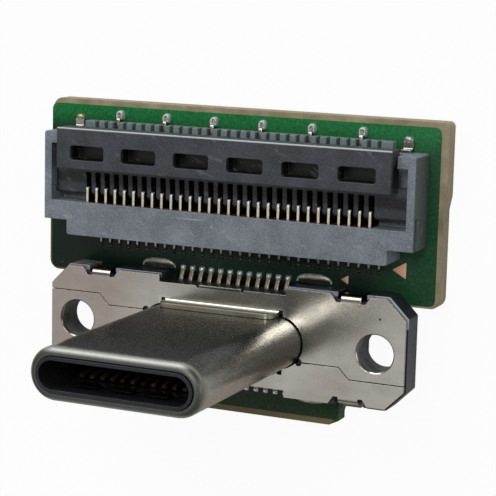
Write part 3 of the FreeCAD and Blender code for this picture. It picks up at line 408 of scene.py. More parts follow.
def inRow(pitch, count, y=0.0):
    # the shifts of a row along X: copy i of n stands at x = (i - (n - 1) / 2) * pitch
    shift = np.zeros((count, 3))
    shift[:, 0] = (np.arange(count) - (count - 1) / 2) * pitch
    shift[:, 1] = y
    return shift


def halfTurned(points):
    # half a turn about the plug's axis: (x, y, z) becomes (-x, -y, z)
    return np.asarray(points, float) * np.array([-1.0, -1.0, 1.0])


def joined(*parts):
    # several shapes as one set of points and faces
    points, faces, offset = [], [], 0
    for part, partFaces in parts:
        points.append(part)
        faces += [[index + offset for index in face] for face in partFaces]
        offset += len(part)
    return np.concatenate(points), faces


def onBothSides(points, faces):
    return joined((points, faces), (halfTurned(points), faces))


def roundedOutline(corners, steps=6):
    # a closed outline through corners (x, y, radius), counter-clockwise: a circle of that radius touches the
    # two sides of corner c at a and b, and the outline runs along (1 - t)^2 a + 2 t (1 - t) c + t^2 b
    nearest = 1e-5  # points closer than this are one
    corners = np.asarray(corners, float)
    radii, corners = corners[:, 2], corners[:, :2]
    before, after = unit(np.roll(corners, 1, axis=0) - corners), unit(np.roll(corners, -1, axis=0) - corners)
    half = np.arccos(np.clip((before * after).sum(1), -1, 1)) / 2
    reach = (radii / np.tan(half))[:, None]
    start, end = (corners + before * reach)[:, None], (corners + after * reach)[:, None]
    part = np.linspace(0, 1, steps)[None, :, None]
    curve = (1 - part) ** 2 * start + 2 * part * (1 - part) * corners[:, None] + part ** 2 * end
    curve = curve.reshape(-1, 2)
    return curve[np.linalg.norm(curve - np.roll(curve, 1, axis=0), axis=1) > nearest]


def insetOutline(outline, depth):
    # each point moves inwards by depth / (m . n) along m, the mean of its two edges' normals n, so that both
    # edges shift by depth
    leastCosine = 0.35  # keeps the points of sharp corners near
    edge = unit(np.roll(outline, -1, axis=0) - outline)
    normal = np.stack([-edge[:, 1], edge[:, 0]], axis=1)
    mean = unit(normal + np.roll(normal, 1, axis=0))
    return outline + mean * (depth / np.clip((mean * normal).sum(1), leastCosine, 1))[:, None]


def plate(outline, low, high, rim, bothSides=True):
    # an outline given a thickness, with rounded rims: the ring at angle a is inset by r (1 - sin a) and lies
    # r (1 - cos a) from the face
    rings = 4
    turn = np.linspace(0, math.pi / 2, rings)
    insets, depths = rim * (1 - np.sin(turn)), rim * (1 - np.cos(turn))
    bottom = list(zip(insets, low + depths)) if bothSides else [(0, low)]
    top = list(zip(insets[::-1], high - depths[::-1]))
    levels = [np.column_stack([insetOutline(outline, inset), np.full(len(outline), level)])
              for inset, level in bottom + top]
    return np.concatenate(levels), cappedFaces(len(levels), len(outline))


def roundedPath(points):
    # an open path through points (y, z, radius of the bend): each bend is an arc about a centre, from one
    # tangent point a to the other b, as (sin(s - t) a + sin(t) b) / sin(s) for t from 0 to the arc's angle s
    steps = 6
    radii, points = np.array(points)[1:-1, 2], np.array(points)[:, :2]
    path = [points[:1]]
    for before, corner, after, radius in zip(points, points[1:], points[2:], radii):
        back, ahead = unit(before - corner), unit(after - corner)
        half = math.acos(np.clip((back * ahead).sum(), -1, 1)) / 2
        reach = radius / math.tan(half)
        centre = corner + unit(back + ahead) * radius / math.sin(half)
        start, end = corner + back * reach - centre, corner + ahead * reach - centre
        spread = math.pi - 2 * half
        turn = np.linspace(0, spread, steps)[:, None]
        path.append(centre + (np.sin(spread - turn) * start + np.sin(turn) * end) / math.sin(spread))
    path.append(points[-1:])
    return np.concatenate(path)


def carried(path, section):
    # a closed section (u along X, v across the sheet) carried along a path in the YZ plane, ends capped:
    # x = u, and (y, z) = path + normal * v / cos(half the bend)
    leastCosine = 0.5
    step = unit(np.diff(path, axis=0))
    ahead = unit(np.vstack([step[:1], step[:-1] + step[1:], step[-1:]]))
    normal = np.column_stack([-ahead[:, 1], ahead[:, 0]])
    stretch = 1 / np.clip((ahead * np.vstack([step[:1], step])).sum(1), leastCosine, 1)
    rows, columns = len(path), len(section)
    points = np.zeros((rows, columns, 3))
    points[:, :, 0] = section[None, :, 0]
    points[:, :, 1:] = path[:, None] + normal[:, None] * section[None, :, 1:2] * stretch[:, None, None]
    return points.reshape(-1, 3), cappedFaces(rows, columns)


def sheetSection(width, thickness, radius):
    # a rectangle about the middle, with round corners
    half, depth = width / 2, thickness / 2
    corners = [(half, -depth), (half, depth), (-half, depth), (-half, -depth)]
    return roundedOutline([(*corner, radius) for corner in corners], steps=3)


# circuit board

board = {"left": 10.07, "right": 9.98, "top": 10.32, "shoulder": 2.12, "neck": 6.42, "neckBottom": -2.82,
         "tab": 5.46, "tabBottom": -3.76, "corner": 0.35, "neckCorner": 0.2, "tabCorner": 0.3,
         "notchCorner": 0.05, "edge": 0.03}
lacquer = {"thickness": 0.022, "sink": 0.002, "rim": 0.012}
# each mark is a triangle: the x and y of its middle and its reach; heights are above the board's face
marks = {"places": [(8.33, 3.68, 0.46), (5.63, 2.98, 0.25)], "corners": [60, 180, 300], "blunt": 0.09,
         "foot": 0.01, "top": 0.033, "rim": 0.006, "gap": 0.035, "gapTop": 0.026, "gapRim": 0.002}

laminateLook = {
    "layers": (900, 900, 14000), "fibres": (2500, 2500, 16000), "pits": 0.5, "roughness": 0.48,
    "bump": 0.000004, "resin": (srgb(142, 128, 96), srgb(178, 168, 138)), "fibre": srgb(116, 104, 72),
    "fibreShare": 0.5,
    "areas": [
        {"y": (None, -2.9), "soft": 0.3, "colour": srgb(104, 92, 40), "amount": 0.75},
        {"x": (5.2, 5.7), "y": (None, -2.9), "colour": srgb(34, 62, 38)},
        {"x": (None, -9.0), "y": (None, 7.5), "soft": 1.0, "colour": srgb(70, 66, 40), "amount": 0.8}]}
maskLook = {
    "pour": 420, "dots": 15000, "weave": 6200, "pits": 0.25, "specks": 3600, "speckSize": 0.1,
    "dark": srgb(8, 22, 17), "light": srgb(28, 60, 42), "weaveColour": srgb(8, 26, 20), "weaveShare": 0.6,
    "fleck": srgb(150, 180, 158), "roughness": 0.36, "specular": 0.22, "bump": 0.000003,
    "areas": [
        # painted light: brighter green towards the right edge and along the top edge
        {"x": (7.6, None), "soft": 2.4, "colour": srgb(34, 90, 54)},
        {"y": (9.5, None), "soft": 0.9, "colour": srgb(32, 130, 68)},
        {"y": (None, -2.6), "soft": 0.4, "colour": srgb(36, 66, 26), "amount": 0.7},
        # painted shade: darker over the left of the board, below the housing
        {"x": (None, -4.5), "y": (None, 4.5), "soft": 2.0, "colour": srgb(8, 18, 12), "amount": 0.6},
        # painted shadow: nearly black in a band under the housing's front edge
        {"x": (-7.5, 7.5), "y": (3.6, 4.0), "soft": 0.05, "colour": srgb(2, 4, 3)},
        {"x": (-7.5, 7.5), "y": (3.34, 3.6), "soft": 0.3, "colour": srgb(66, 74, 56), "amount": 0.4,
         "broken": 5500},
        # painted shade: nearly black between the plug's leads
        {"x": (-3.1, 3.1), "y": (2.0, 2.62), "soft": 0.12, "colour": srgb(13, 9, 7)},
        {"x": (-4.8, -3.3), "y": (2.4, 2.9), "colour": srgb(84, 88, 80), "amount": 0.9, "broken": 5000},
        {"x": (3.3, 4.8), "y": (2.4, 2.9), "colour": srgb(66, 54, 50), "amount": 0.9, "broken": 5000}]}
copperLook = {"light": srgb(236, 190, 164), "dark": srgb(216, 166, 140), "rough": (0.34, 0.5),
              "along": (3000, 3000, 3000), "metallic": 0.8}


def laminateFinish():
    # glass-fibre laminate: olive resin, with the cloth's layers as lines on the cut sides
    look = laminateLook
    material, tree, surface, vector = startFinish("laminate")
    layers = placed(tree, mottleGroup, vector, scale=look["layers"])["Value"]
    fibres = placed(tree, grainGroup, vector, scale=look["fibres"], pits=look["pits"])
    tone = blendColours(tree, layers, *look["resin"])
    tone = blendColours(tree, ranged(tree, fibres["Mask"], 0.0, look["fibreShare"]), tone, look["fibre"])
    tree.links.new(tinted(tree, vector, tone, look["areas"]), surface["Base Color"])
    surface["Roughness"].default_value = look["roughness"]
    addBump(tree, surface, fibres["Height"], look["bump"])
    return material


def maskFinish():
    # green lacquer: dark, and darkened further to nearly black-green as painted shade, with painted light
    # making it bright along the top and right edges
    look = maskLook
    material, tree, surface, vector = startFinish("solderMask")
    weave = placed(tree, grainGroup, vector, scale=evenly(look["weave"]), pits=look["pits"])
    tone = twoToned(tree, vector, look["pour"], look["dots"], look["dark"], look["light"])
    tone = tinted(tree, vector, tone, look["areas"])
    woven = ranged(tree, weave["Mask"], 0.0, look["weaveShare"])
    tone = blendColours(tree, woven, tone, look["weaveColour"])
    specks = placed(tree, specksGroup, vector, scale=evenly(look["specks"]), size=look["speckSize"])["Value"]
    tree.links.new(blendColours(tree, specks, tone, look["fleck"]), surface["Base Color"])
    surface["Roughness"].default_value = look["roughness"]
    surface["Specular IOR Level"].default_value = look["specular"]
    addBump(tree, surface, weave["Height"], look["bump"])
    return material


def boardOutline():
    # down the left side and up the right one; each corner is (distance from the middle, y, radius)
    neck = [(board["neck"], board["shoulder"], board["neckCorner"]),
            (board["neck"], board["neckBottom"], board["tabCorner"]),
            (board["tab"], board["neckBottom"], board["notchCorner"]),
            (board["tab"], board["tabBottom"], board["tabCorner"])]
    left, right = [[(board[side], board[level], board["corner"]) for level in ("top", "shoulder")] + neck
                   for side in ("left", "right")]
    return roundedOutline([right[0]] + [(-x, y, radius) for x, y, radius in left] + right[:0:-1])


def buildBoard():
    softened("circuit_board", laminateFinish(), "solder_mask", board["edge"], "boardLaminate")
    coat = plate(boardOutline(), boardFace - lacquer["sink"], boardFace + lacquer["thickness"],
                 lacquer["rim"], bothSides=False)
    addPiece("solderMask", *coat, maskFinish(), "solder_mask")
    shapes, openings = [], []
    turn = np.radians(marks["corners"])
    foot = boardFace + marks["foot"]
    for x, y, reach in marks["places"]:
        corners = np.column_stack([x + reach * np.cos(turn), y + reach * np.sin(turn),
                                   np.full(len(turn), reach * marks["blunt"])])
        flat = roundedOutline(corners, steps=4)
        shapes.append(plate(flat, foot, boardFace + marks["top"], marks["rim"], bothSides=False))
        wider = insetOutline(flat, -marks["gap"])
        openings.append(plate(wider, foot, boardFace + marks["gapTop"], marks["gapRim"], bothSides=False))
    copper = metalFinish("bareCopper", **copperLook)
    addPiece("copperMarks", *joined(*shapes), copper, "bare_copper", ("copper_marks",))
    addPiece("maskOpenings", *joined(*openings), carrierPlastic, "solder_mask")


buildBoard()
print("circuit board ready")


# plug

plug = {"width": 8.25, "height": 2.4, "wall": 0.25, "tip": 12.96, "rear": 0.8, "lip": 0.36, "curl": 0.375,
        # the lip's cut edge: (outwards, back from the tip), then (outwards, forward from the wall's inside)
        "edgeFront": [(0.004, 0.006), (0, 0.02)], "edgeBack": [(0, 0.03), (0.01, 0)],
        "around": 40, "sides": 24, "lipSteps": 11, "outsideSteps": 26, "boreSteps": 20, "smoothAngle": 50,
        "insulatorEdge": 0.03, "carrierEdge": 0.02, "springEdge": 0.012}
# the leads' bends: (distance from the axis, distance back from the tip or height above the board, radius)
lead = {"width": 0.2, "thickness": 0.15, "edge": 0.03, "pitch": 0.5, "count": 12,
        "beam": [(0.50, 2.25, 0), (0.38, 2.9, 0.35), (0.62, 4.6, 0.9)],
        "foot": [(0.62, 0.25, 0.16), (2.26, 0.25, 0.25), (2.59, 0.075, 0.12), (2.68, 0.075, 0)]}

plugSteelLook = {
    "light": srgb(180, 180, 172), "dark": srgb(164, 162, 154), "rough": (0.24, 0.3),
    "along": (30000, 30000, 350), "patches": (3200, 3200, 1600), "specks": 0.14,
    "areas": [
        {"z": (None, 1.3), "soft": 0.1, "colour": srgb(46, 44, 40)},
        # painted reflection: the tube's upper face darker grey, as if mirroring dark surroundings
        {"x": (None, 3.2), "y": (0.95, None), "z": (3.0, 12.6), "soft": 0.6, "colour": srgb(102, 102, 94),
         "amount": 0.8},
        # painted reflection: a warm brown on the tube's lower right side
        {"x": (2.0, None), "y": (None, -0.2), "z": (3.0, None), "soft": 0.8, "colour": srgb(146, 118, 90),
         "amount": 0.75},
        {"z": (12.7, None), "soft": 0.3, "colour": srgb(156, 157, 152)},
        # painted shade: the rim darker round the mouth
        {"x": (-3.95, 3.95), "y": (-1.0, 1.0), "z": (12.75, None), "soft": 0.14,
         "colour": srgb(104, 104, 100)},
        # painted shade: the rim darker at the tube's right end
        {"x": (3.5, None), "y": (None, 0.6), "z": (12.5, None), "soft": 0.5, "colour": srgb(112, 112, 108),
         "amount": 0.8}],
    "roughAreas": [{"z": (12.66, None), "soft": 0.5, "add": 0.2}]}
insulatorLook = {
    "dark": srgb(22, 24, 29), "light": srgb(42, 45, 53), "roughness": 0.3, "specular": 0.3,
    "areas": [{"x": (-3.62, 3.62), "y": (-0.66, 0.66), "z": (None, 12.98), "soft": 0.06,
               "colour": srgb(31, 31, 34)}]}
springLook = {"light": srgb(74, 72, 68), "dark": srgb(54, 52, 50), "rough": (0.4, 0.5),
              "along": (30000, 30000, 400)}
# the leads' dark brown is painted shade inside the plug; below 3 mm, where they come out, they are paler
leadLook = {
    "light": srgb(128, 108, 88), "dark": srgb(66, 54, 46), "rough": (0.26, 0.38),
    "along": (30000, 30000, 400), "patches": (2400, 2400, 2400), "metallic": 0.6,
    "areas": [{"z": (None, 3.0), "soft": 0.5, "colour": srgb(158, 150, 128)}]}


def stadiumRing(count, sides):
    # two half circles joined by straight sides: for each point, the centre that it turns about, from -1 to 1
    # along X, and its outward normal (cos a, sin a)
    quarter = math.pi / 2
    turn = np.linspace(-quarter, quarter, count)
    along = np.linspace(1, -1, sides + 2)[1:-1]
    centre = np.concatenate([np.ones(count), along, -np.ones(count), -along])
    angle = np.concatenate([turn, np.full(sides, quarter), turn + math.pi, np.full(sides, -quarter)])
    return centre, np.column_stack([np.cos(angle), np.sin(angle)])


def upright(radius, heights):
    return np.column_stack([np.full(len(heights), radius), heights])


def buildTube():
    # the wall's profile (distance r from the round ends' axes, height z) carried round the stadium:
    # x = centre * straight + r cos a, y = r sin a
    outer, tip, wall = plug["height"] / 2, plug["tip"], plug["wall"]
    straight = (plug["width"] - plug["height"]) / 2
    curled, base = outer - plug["lip"], tip - plug["lip"]
    turn = np.linspace(0, math.pi / 2, plug["lipSteps"])
    bend = np.column_stack([np.cos(turn), np.sin(turn)])
    edge = outer - plug["curl"]
    cut = [(edge + out, tip - back) for out, back in plug["edgeFront"]]
    cut += [(edge + out, tip - wall + forward) for out, forward in plug["edgeBack"]]
    profile = np.concatenate([
        upright(outer, np.linspace(plug["rear"], base, plug["outsideSteps"])[:-1]),
        (curled, base) + plug["lip"] * bend,
        cut,
        (curled, base) + (plug["lip"] - wall) * bend[-2::-1],
        upright(outer - wall, np.linspace(base, plug["rear"], plug["boreSteps"])[1:])])
    centre, normal = stadiumRing(plug["around"], plug["sides"])
    points = np.zeros((len(profile), len(centre), 3))
    points[:, :, 0] = centre * straight + profile[:, :1] * normal[:, 0]
    points[:, :, 1] = profile[:, :1] * normal[:, 1]
    points[:, :, 2] = profile[:, 1:]
    rows, columns = points.shape[:2]
    return points.reshape(-1, 3), gridFaces(rows, columns, closedRows=True).tolist()


def buildPlug():
    plugSteel = metalFinish("plugSteel", **plugSteelLook)
    addPiece("plugShell", *buildTube(), plugSteel, "plug_steel", ("plug_tube",),
             smoothAngle=plug["smoothAngle"])
    insulator = plasticFinish("insulatorPlastic", **insulatorLook)
    softened("plug_insulator", insulator, "black_plastic", plug["insulatorEdge"])
    softened("contact_carrier", carrierPlastic, "black_plastic", plug["carrierEdge"])
    springSteel = metalFinish("springSteel", **springLook)
    for node in ("side_latches", "upper_ground_spring", "lower_ground_spring"):
        softened(node, springSteel, "spring_steel", plug["springEdge"])


def buildLeads():
    # each of the plug's contacts is one strip: beam, bump, exit bend and foot
    tip = plug["tip"] - boardFace
    curve = roundedPath([(y, tip - back, radius) for y, back, radius in lead["beam"]] + lead["foot"])
    curve[:, 1] += boardFace
    strip = carried(curve, sheetSection(lead["width"], lead["thickness"], lead["edge"]))
    points, faces = copied(*strip, inRow(lead["pitch"], lead["count"]))
    gold = metalFinish("plugContactPlate", **leadLook)
    addPiece("upperPlugContacts", points, faces, gold, "gold_plate", ("upper_plug_contacts",))
    addPiece("lowerPlugContacts", halfTurned(points), faces, gold, "gold_plate", ("lower_plug_contacts",))


buildPlug()
buildLeads()
print("plug ready")


# flange

flange = {"mouldingEdge": 0.03, "sheetEdge": 0.014}

mouldingLook = {
    "dark": srgb(29, 31, 36), "light": srgb(48, 51, 59), "roughness": 0.36,
    "areas": [
        # painted highlights: light grey along the top edge's upper side and towards the right end
        {"y": (2.44, None), "z": (2.06, None), "soft": 0.05, "colour": srgb(146, 156, 166), "amount": 0.8},
        {"x": (7.6, None), "y": (1.25, None), "z": (2.06, None), "soft": 0.05,
         "colour": srgb(168, 180, 188)},
        # painted light: the left seam's gap lightened so that its shade does not show
        {"x": (None, -6.3), "y": (1.2, 1.5), "z": (2.0, None), "colour": srgb(200, 190, 180)},
        {"x": (None, -6.4), "y": (2.0, None), "z": (None, 2.06), "soft": 0.2, "colour": srgb(150, 148, 138),
         "broken": 3000},
        # painted light: the screw holes' bores lightened in patches
        {"x": (6.78, 8.68), "y": (-0.93, 0.93), "soft": 0.05, "colour": srgb(142, 144, 146), "broken": 1400},
        {"x": (-8.68, -6.78), "y": (-0.93, 0.93), "soft": 0.05, "colour": srgb(120, 126, 124),
         "broken": 1400}]}
bendShade = srgb(52, 48, 42)
sheetLook = {
    "light": srgb(187, 184, 177), "dark": srgb(164, 159, 151), "rough": (0.16, 0.27),
    "along": (400, 30000, 30000), "patches": (300, 520, 520), "specks": 0.11,
    "areas": [
        {"z": (2.52, None), "soft": 0.06, "colour": srgb(168, 164, 150)},
        {"z": (3.12, None), "soft": 0.06, "colour": srgb(196, 190, 172)},
        {"y": (1.28, 1.34), "z": (3.12, None), "soft": 0.03, "colour": srgb(186, 182, 166), "amount": 0.8,
         "broken": 2500},
        {"x": (1.2, 2.2), "y": (None, 1.36), "z": (3.12, None), "soft": 0.3, "colour": srgb(84, 46, 44),
         "amount": 0.9, "broken": 4000},
        # painted highlight: a white line along the bend where the lip rises from the plate
        {"x": (-3.3, 3.3), "y": (1.2, 1.6), "z": (2.35, 2.76), "soft": 0.03, "colour": srgb(255, 252, 244)},
        {"x": (-1.25, 0.95), "y": (2.185, 2.24), "z": (2.3, None), "soft": 0.03, "colour": srgb(22, 20, 18)},
        {"x": (7.87, 7.97), "y": (1.58, 1.68), "z": (2.3, None), "soft": 0.04, "colour": srgb(40, 36, 32)},
        {"z": (None, 2.16), "soft": 0.12, "colour": bendShade},
        {"x": (6.8, None), "y": (None, -2.53), "soft": 0.05, "colour": bendShade},
        {"x": (None, -5.0), "soft": 2.0, "colour": srgb(158, 144, 136), "amount": 0.6}],
    "roughAreas": [{"z": (2.38, None), "soft": 0.06, "add": 0.12}]}


def buildFlange():
    softened("flange_body", plasticFinish("flangeMoulding", **mouldingLook), "flange_moulding",
             flange["mouldingEdge"], "flangeMoulding")
    flangeSteel = metalFinish("flangeSteel", **sheetLook)
    for node in ("upper_flange", "lower_flange"):
        softened(node, flangeSteel, "flange_steel", flange["sheetEdge"])


buildFlange()
print("flange ready")


# cable connector

cable = {"edge": 0.035, "pitch": 0.5, "count": 30, "sheet": 0.13, "contactRim": 0.03,
         # the outline of a stamped contact: (y, height above the board, radius of the corner)
         "contact": [(3.58, 0, 0.02), (4.95, 0, 0.02), (4.95, 0.22, 0.08), (8.9, 0.22, 0.03),
                     (8.9, 0.44, 0.05), (8.5, 0.74, 0.15), (8.1, 0.46, 0.15), (4.95, 0.46, 0.1),
                     (4.95, 1.46, 0.1), (6.38, 1.46, 0.04), (6.38, 1.31, 0.03), (6.5, 1.31, 0.04),
                     (6.5, 1.55, 0.08), (5.06, 1.55, 0.05), (4.94, 1.66, 0.07), (4.25, 1.66, 0.1),
                     (4.25, 0.13, 0.1), (3.58, 0.1, 0.05)]}
# the bends of a pin at the mouth: (y, height above the board, radius)
pins = {"pitch": 2.5, "count": 6, "width": 0.2, "thickness": 0.15, "edge": 0.03, "holdDownEdge": 0.03,
        "path": [(9.15, 0.32, 0), (9.74, 0.32, 0.1), (9.74, 0.075, 0.1), (9.95, 0.075, 0)]}

# light scuffs on the housing's wall, each as its reach along X and along Y
scuffs = [((-2.3, -0.9), (5.42, 5.47)), ((-0.5, -0.44), (5.1, 5.4)), ((-5.78, -5.69), (4.47, 4.55)),
          ((1.06, 1.14), (4.66, 4.74))]
housingLook = {
    "dark": srgb(86, 94, 102), "light": srgb(148, 156, 164), "roughness": 0.45, "specks": 0.11,
    "scratches": 0.25,
    "areas": [
        {"x": (-7.3, 7.3), "y": (4.1, 5.84), "z": (None, 2.5), "soft": 0.06, "colour": srgb(78, 38, 29)},
        {"y": (9.0, None), "z": (None, 1.47), "soft": 0.04, "colour": srgb(120, 134, 134), "amount": 0.85},
        # painted shade: the housing's right end face darker
        {"x": (9.43, None), "soft": 0.04, "colour": srgb(64, 74, 70), "amount": 0.8}] + [
        {"x": x, "y": y, "z": (2.55, None), "soft": 0.06, "colour": srgb(200, 204, 208), "amount": 0.8,
         "broken": 3500} for x, y in scuffs]}
lockBarLook = {
    "dark": srgb(39, 41, 46), "light": srgb(79, 81, 89), "roughness": 0.42, "specks": 0.06,
    "scratches": 0.12,
    "areas": [
        # painted shadow: a dark band on the ribs under the bar's edge
        {"y": (6.66, 7.2), "z": (None, 2.4), "soft": 0.2, "colour": srgb(14, 14, 16), "amount": 0.85},
        # painted shade: the windows' floors near black
        {"y": (7.7, 8.7), "z": (None, 2.95), "soft": 0.15, "colour": srgb(14, 14, 16)},
        # painted highlight: light along the bar's top edge
        {"y": (9.33, None), "z": (3.08, None), "soft": 0.04, "colour": srgb(196, 200, 204), "amount": 0.8}]}
# the hooks' tops: white as a painted highlight, and rougher to spread it
hookTop = {"y": (6.36, 6.56), "z": (2.2, None), "soft": 0.04}
contactLook = {
    "light": srgb(255, 250, 226), "dark": srgb(240, 228, 192), "rough": (0.24, 0.38),
    "along": (30000, 400, 400), "metallic": 0.85,
    "areas": [
        {**hookTop, "colour": srgb(255, 255, 250)},
        # painted shade: the tails greyed beyond the housing's edge and darker further out, in its shadow
        {"y": (None, 3.95), "soft": 0.1, "colour": srgb(146, 148, 134)},
        {"y": (None, 3.66), "soft": 0.06, "colour": srgb(88, 92, 80)}],
    "roughAreas": [{**hookTop, "add": 0.2}]}
pinLook = {"light": srgb(190, 188, 182), "dark": srgb(150, 147, 140), "rough": (0.2, 0.34),
           "along": (30000, 400, 400)}


def buildCableConnector():
    housingPlastic = plasticFinish("housingPlastic", **housingLook)
    softened("cable_housing", housingPlastic, "housing_plastic", cable["edge"])
    lockPlastic = plasticFinish("lockPlastic", **lockBarLook)
    softened("cable_lock_bar", lockPlastic, "lock_plastic", cable["edge"], body="lock_bar")
    # each signal contact is stamped from sheet: an outline in the YZ plane with a small thickness along X
    outline = roundedOutline(cable["contact"], steps=4)
    points, faces = plate(outline, -cable["sheet"] / 2, cable["sheet"] / 2, cable["contactRim"])
    points = points[:, [2, 0, 1]] + np.array([0, 0, boardFace])
    contacts = copied(points, faces, inRow(cable["pitch"], cable["count"]))
    paleGold = metalFinish("paleGold", **contactLook)
    addPiece("signalContacts", *contacts, paleGold, "pale_gold", ("signal_contacts",))


def buildPins():
    # the pins at the mouth: out of the floor, down and along the board
    tinned = metalFinish("tinnedLead", **pinLook)
    curve = roundedPath(pins["path"])
    curve[:, 1] += boardFace
    points, faces = carried(curve, sheetSection(pins["width"], pins["thickness"], pins["edge"]))
    for number, shift in enumerate(inRow(pins["pitch"], pins["count"]), 1):
        node = "mouth_pin_%d" % number
        addPiece(camelName(node), points + shift, faces, tinned, "pale_gold", (node,))
    for node in ("left_hold_down", "right_hold_down"):
        softened(node, tinned, "solder", pins["holdDownEdge"])


buildCableConnector()
buildPins()
print("cable connector ready")


# solder: a pad's profile is (share of the way to its rim, height), and a span runs from pad to pad

dome = [(0, 0.2), (0.3, 0.192), (0.6, 0.168), (0.85, 0.115), (0.95, 0.065), (1, 0)]
dish = [(0, 0.05), (0.3, 0.07), (0.5, 0.2), (0.68, 0.27), (0.85, 0.2), (1, 0)]
solder = {"lift": 0.005, "sink": 0.004, "spokes": 32, "rings": 15, "inner": 0.02, "crowding": 0.8}
leadPad = {"width": 0.27, "depth": 0.26, "profile": dome, "power": 5}
tailPad = {"width": 0.17, "depth": 0.18, "profile": [(share, height / 2) for share, height in dome]}
pinPad = {"width": 0.4, "depth": 0.5, "profile": dish}
cornerPad = {"width": 0.48, "depth": 0.34, "profile": dome}
arch = {"half": 0.85, "reach": 2.97, "foot": 2.7, "width": 0.2, "height": 0.1, "power": 0.72, "swell": 0.45,
        "along": 41, "across": 11, "span": 8.12}
padRows = {"lead": 2.77, "tail": 3.46, "pin": 9.9, "corner": 9.69, "cornerSpan": 16.92}  # the y of each row

solderLook = {
    "light": srgb(255, 255, 255), "dark": srgb(236, 238, 240), "rough": (0.14, 0.3),
    "along": (2600, 2600, 2600), "bump": 0.000004, "scratches": 0.05, "patches": (3600, 3600, 3600),
    "metallic": 0.6,
    "areas": [{"x": (None, -8.0), "colour": srgb(176, 160, 132)},
              {"x": (8.0, None), "colour": srgb(164, 168, 162)}]}
footLook = {"light": srgb(206, 208, 196), "dark": srgb(136, 140, 128), "rough": (0.26, 0.42),
            "along": (2600, 2600, 2600), "bump": 0.000003, "patches": (3600, 3600, 3600), "metallic": 0.4}
tailLook = {"light": srgb(110, 112, 98), "dark": srgb(50, 54, 46), "rough": (0.3, 0.5),
            "along": (2600, 2600, 2600), "patches": (2200, 2200, 2200)}


def closedOver(top, low):
    # a surface over a grid, closed by the same grid flat at the low height and a wall round its rim
    under = top.copy()
    under[:, :, 2] = low
    rows, columns = top.shape[:2]
    upper = gridFaces(rows, columns, closedColumns=False)
    index = np.arange(rows * columns).reshape(rows, columns)
    rim = np.concatenate([index[:, 0], index[-1, 1:], index[::-1, -1][1:], index[0, ::-1][1:-1]])
    ahead = np.roll(rim, -1)
    walls = np.stack([rim, rim + rows * columns, ahead + rows * columns, ahead], axis=-1)
    faces = np.concatenate([upper, upper[:, ::-1] + rows * columns, walls])
    return np.concatenate([top.reshape(-1, 3), under.reshape(-1, 3)]), faces.tolist()


def powered(value, power):
    # a cosine or sine raised to a power, with its sign kept
    return np.sign(value) * np.abs(value) ** power


def solderPad(width, depth, profile, power=2.6):
    # a round-cornered pad: its height is read off the profile along every spoke of |x|^p + |y|^p = 1, where
    # x = cos(t)^(2/p) * reach and y = sin(t)^(2/p) * reach
    turn = np.linspace(0, 2 * math.pi, solder["spokes"] + 1)[:-1]
    reach = np.linspace(solder["inner"], 1, solder["rings"]) ** solder["crowding"]
    turn, reach = np.meshgrid(turn, reach, indexing="ij")
    x, y = powered(np.cos(turn), 2 / power) * reach, powered(np.sin(turn), 2 / power) * reach
    height = boardFace + solder["lift"] + np.interp(reach, *np.transpose(profile))
    top = np.stack([x * width / 2, y * depth / 2, height], axis=-1)
    rows, columns = top.shape[:2]
    under = top[:, -1].copy()
    under[:, 2] = boardFace - solder["sink"]
    faces = gridFaces(rows, columns, closedRows=True, closedColumns=False)[:, ::-1].tolist()
    around = np.arange(rows)
    ahead = (around + 1) % rows
    walls = [around * columns + columns - 1, around + rows * columns, ahead + rows * columns,
             ahead * columns + columns - 1]
    faces += np.stack(walls, axis=-1).tolist()
    faces.append((around[::-1] + rows * columns).tolist())
    faces.append((around * columns).tolist())
    return np.concatenate([top.reshape(-1, 3), under]), faces


def solderArch():
    # a ridge along the arch x = half * cos(t)^p, y = foot + (reach - foot) * sin(t)^p: its section is a
    # half-round scaled by 1 - swell * cos(2t), which is widest at the arch's top
    turn = np.linspace(0, math.pi, arch["along"])
    path = np.column_stack([arch["half"] * powered(np.cos(turn), arch["power"]),
                            arch["foot"] + (arch["reach"] - arch["foot"]) * np.sin(turn) ** arch["power"]])
    ahead = unit(np.gradient(path, axis=0))
    side = np.linspace(-1, 1, arch["across"])[None]
    swell = 1 - arch["swell"] * np.cos(turn * 2)[:, None]
    out = side * arch["width"] / 2 * swell
    rise = arch["height"] * swell * np.sqrt(1 - side ** 2)
    points = np.stack([path[:, :1] + ahead[:, 1:] * out, path[:, 1:] - ahead[:, :1] * out,
                       boardFace + solder["lift"] + rise], axis=-1)
    return closedOver(points, boardFace - solder["sink"])


def buildSolder():
    bright = metalFinish("solder", **solderLook)
    leads = onBothSides(*copied(*solderPad(**leadPad), inRow(lead["pitch"], lead["count"], padRows["lead"])))
    addPiece("plugLeadSolder", *leads, bright, "solder", ("plug_lead_solder",))
    tails = copied(*solderPad(**tailPad), inRow(cable["pitch"], cable["count"], padRows["tail"]))
    shaded = metalFinish("shadedSolder", **tailLook)
    addPiece("contactTailSolder", *tails, shaded, "solder", ("contact_tail_solder",))
    feet = copied(*solderPad(**pinPad), inRow(pins["pitch"], pins["count"], padRows["pin"]))
    addPiece("pinSolder", *feet, bright, "solder", ("pin_solder",))
    corners = copied(*solderPad(**cornerPad), inRow(padRows["cornerSpan"], 2, padRows["corner"]))
    addPiece("holdDownSolder", *corners, bright, "solder", ("hold_down_solder",))
    arches = onBothSides(*copied(*solderArch(), inRow(arch["span"], 2)))
    dull = metalFinish("footSolder", **footLook)
    addPiece("footSolder", *arches, dull, "solder", ("foot_solder",))


buildSolder()
print("solder ready")


# studio

studio = {"floorSize": 3.0, "floorDrop": 0.00002, "paper": (0.86, 0.86, 0.86, 1), "paperRoughness": 0.9,
          "glow": 1.0, "cameraShare": 0.94, "world": (0.2, 0.2, 0.196, 1), "backdrop": (1, 1, 1, 1)}


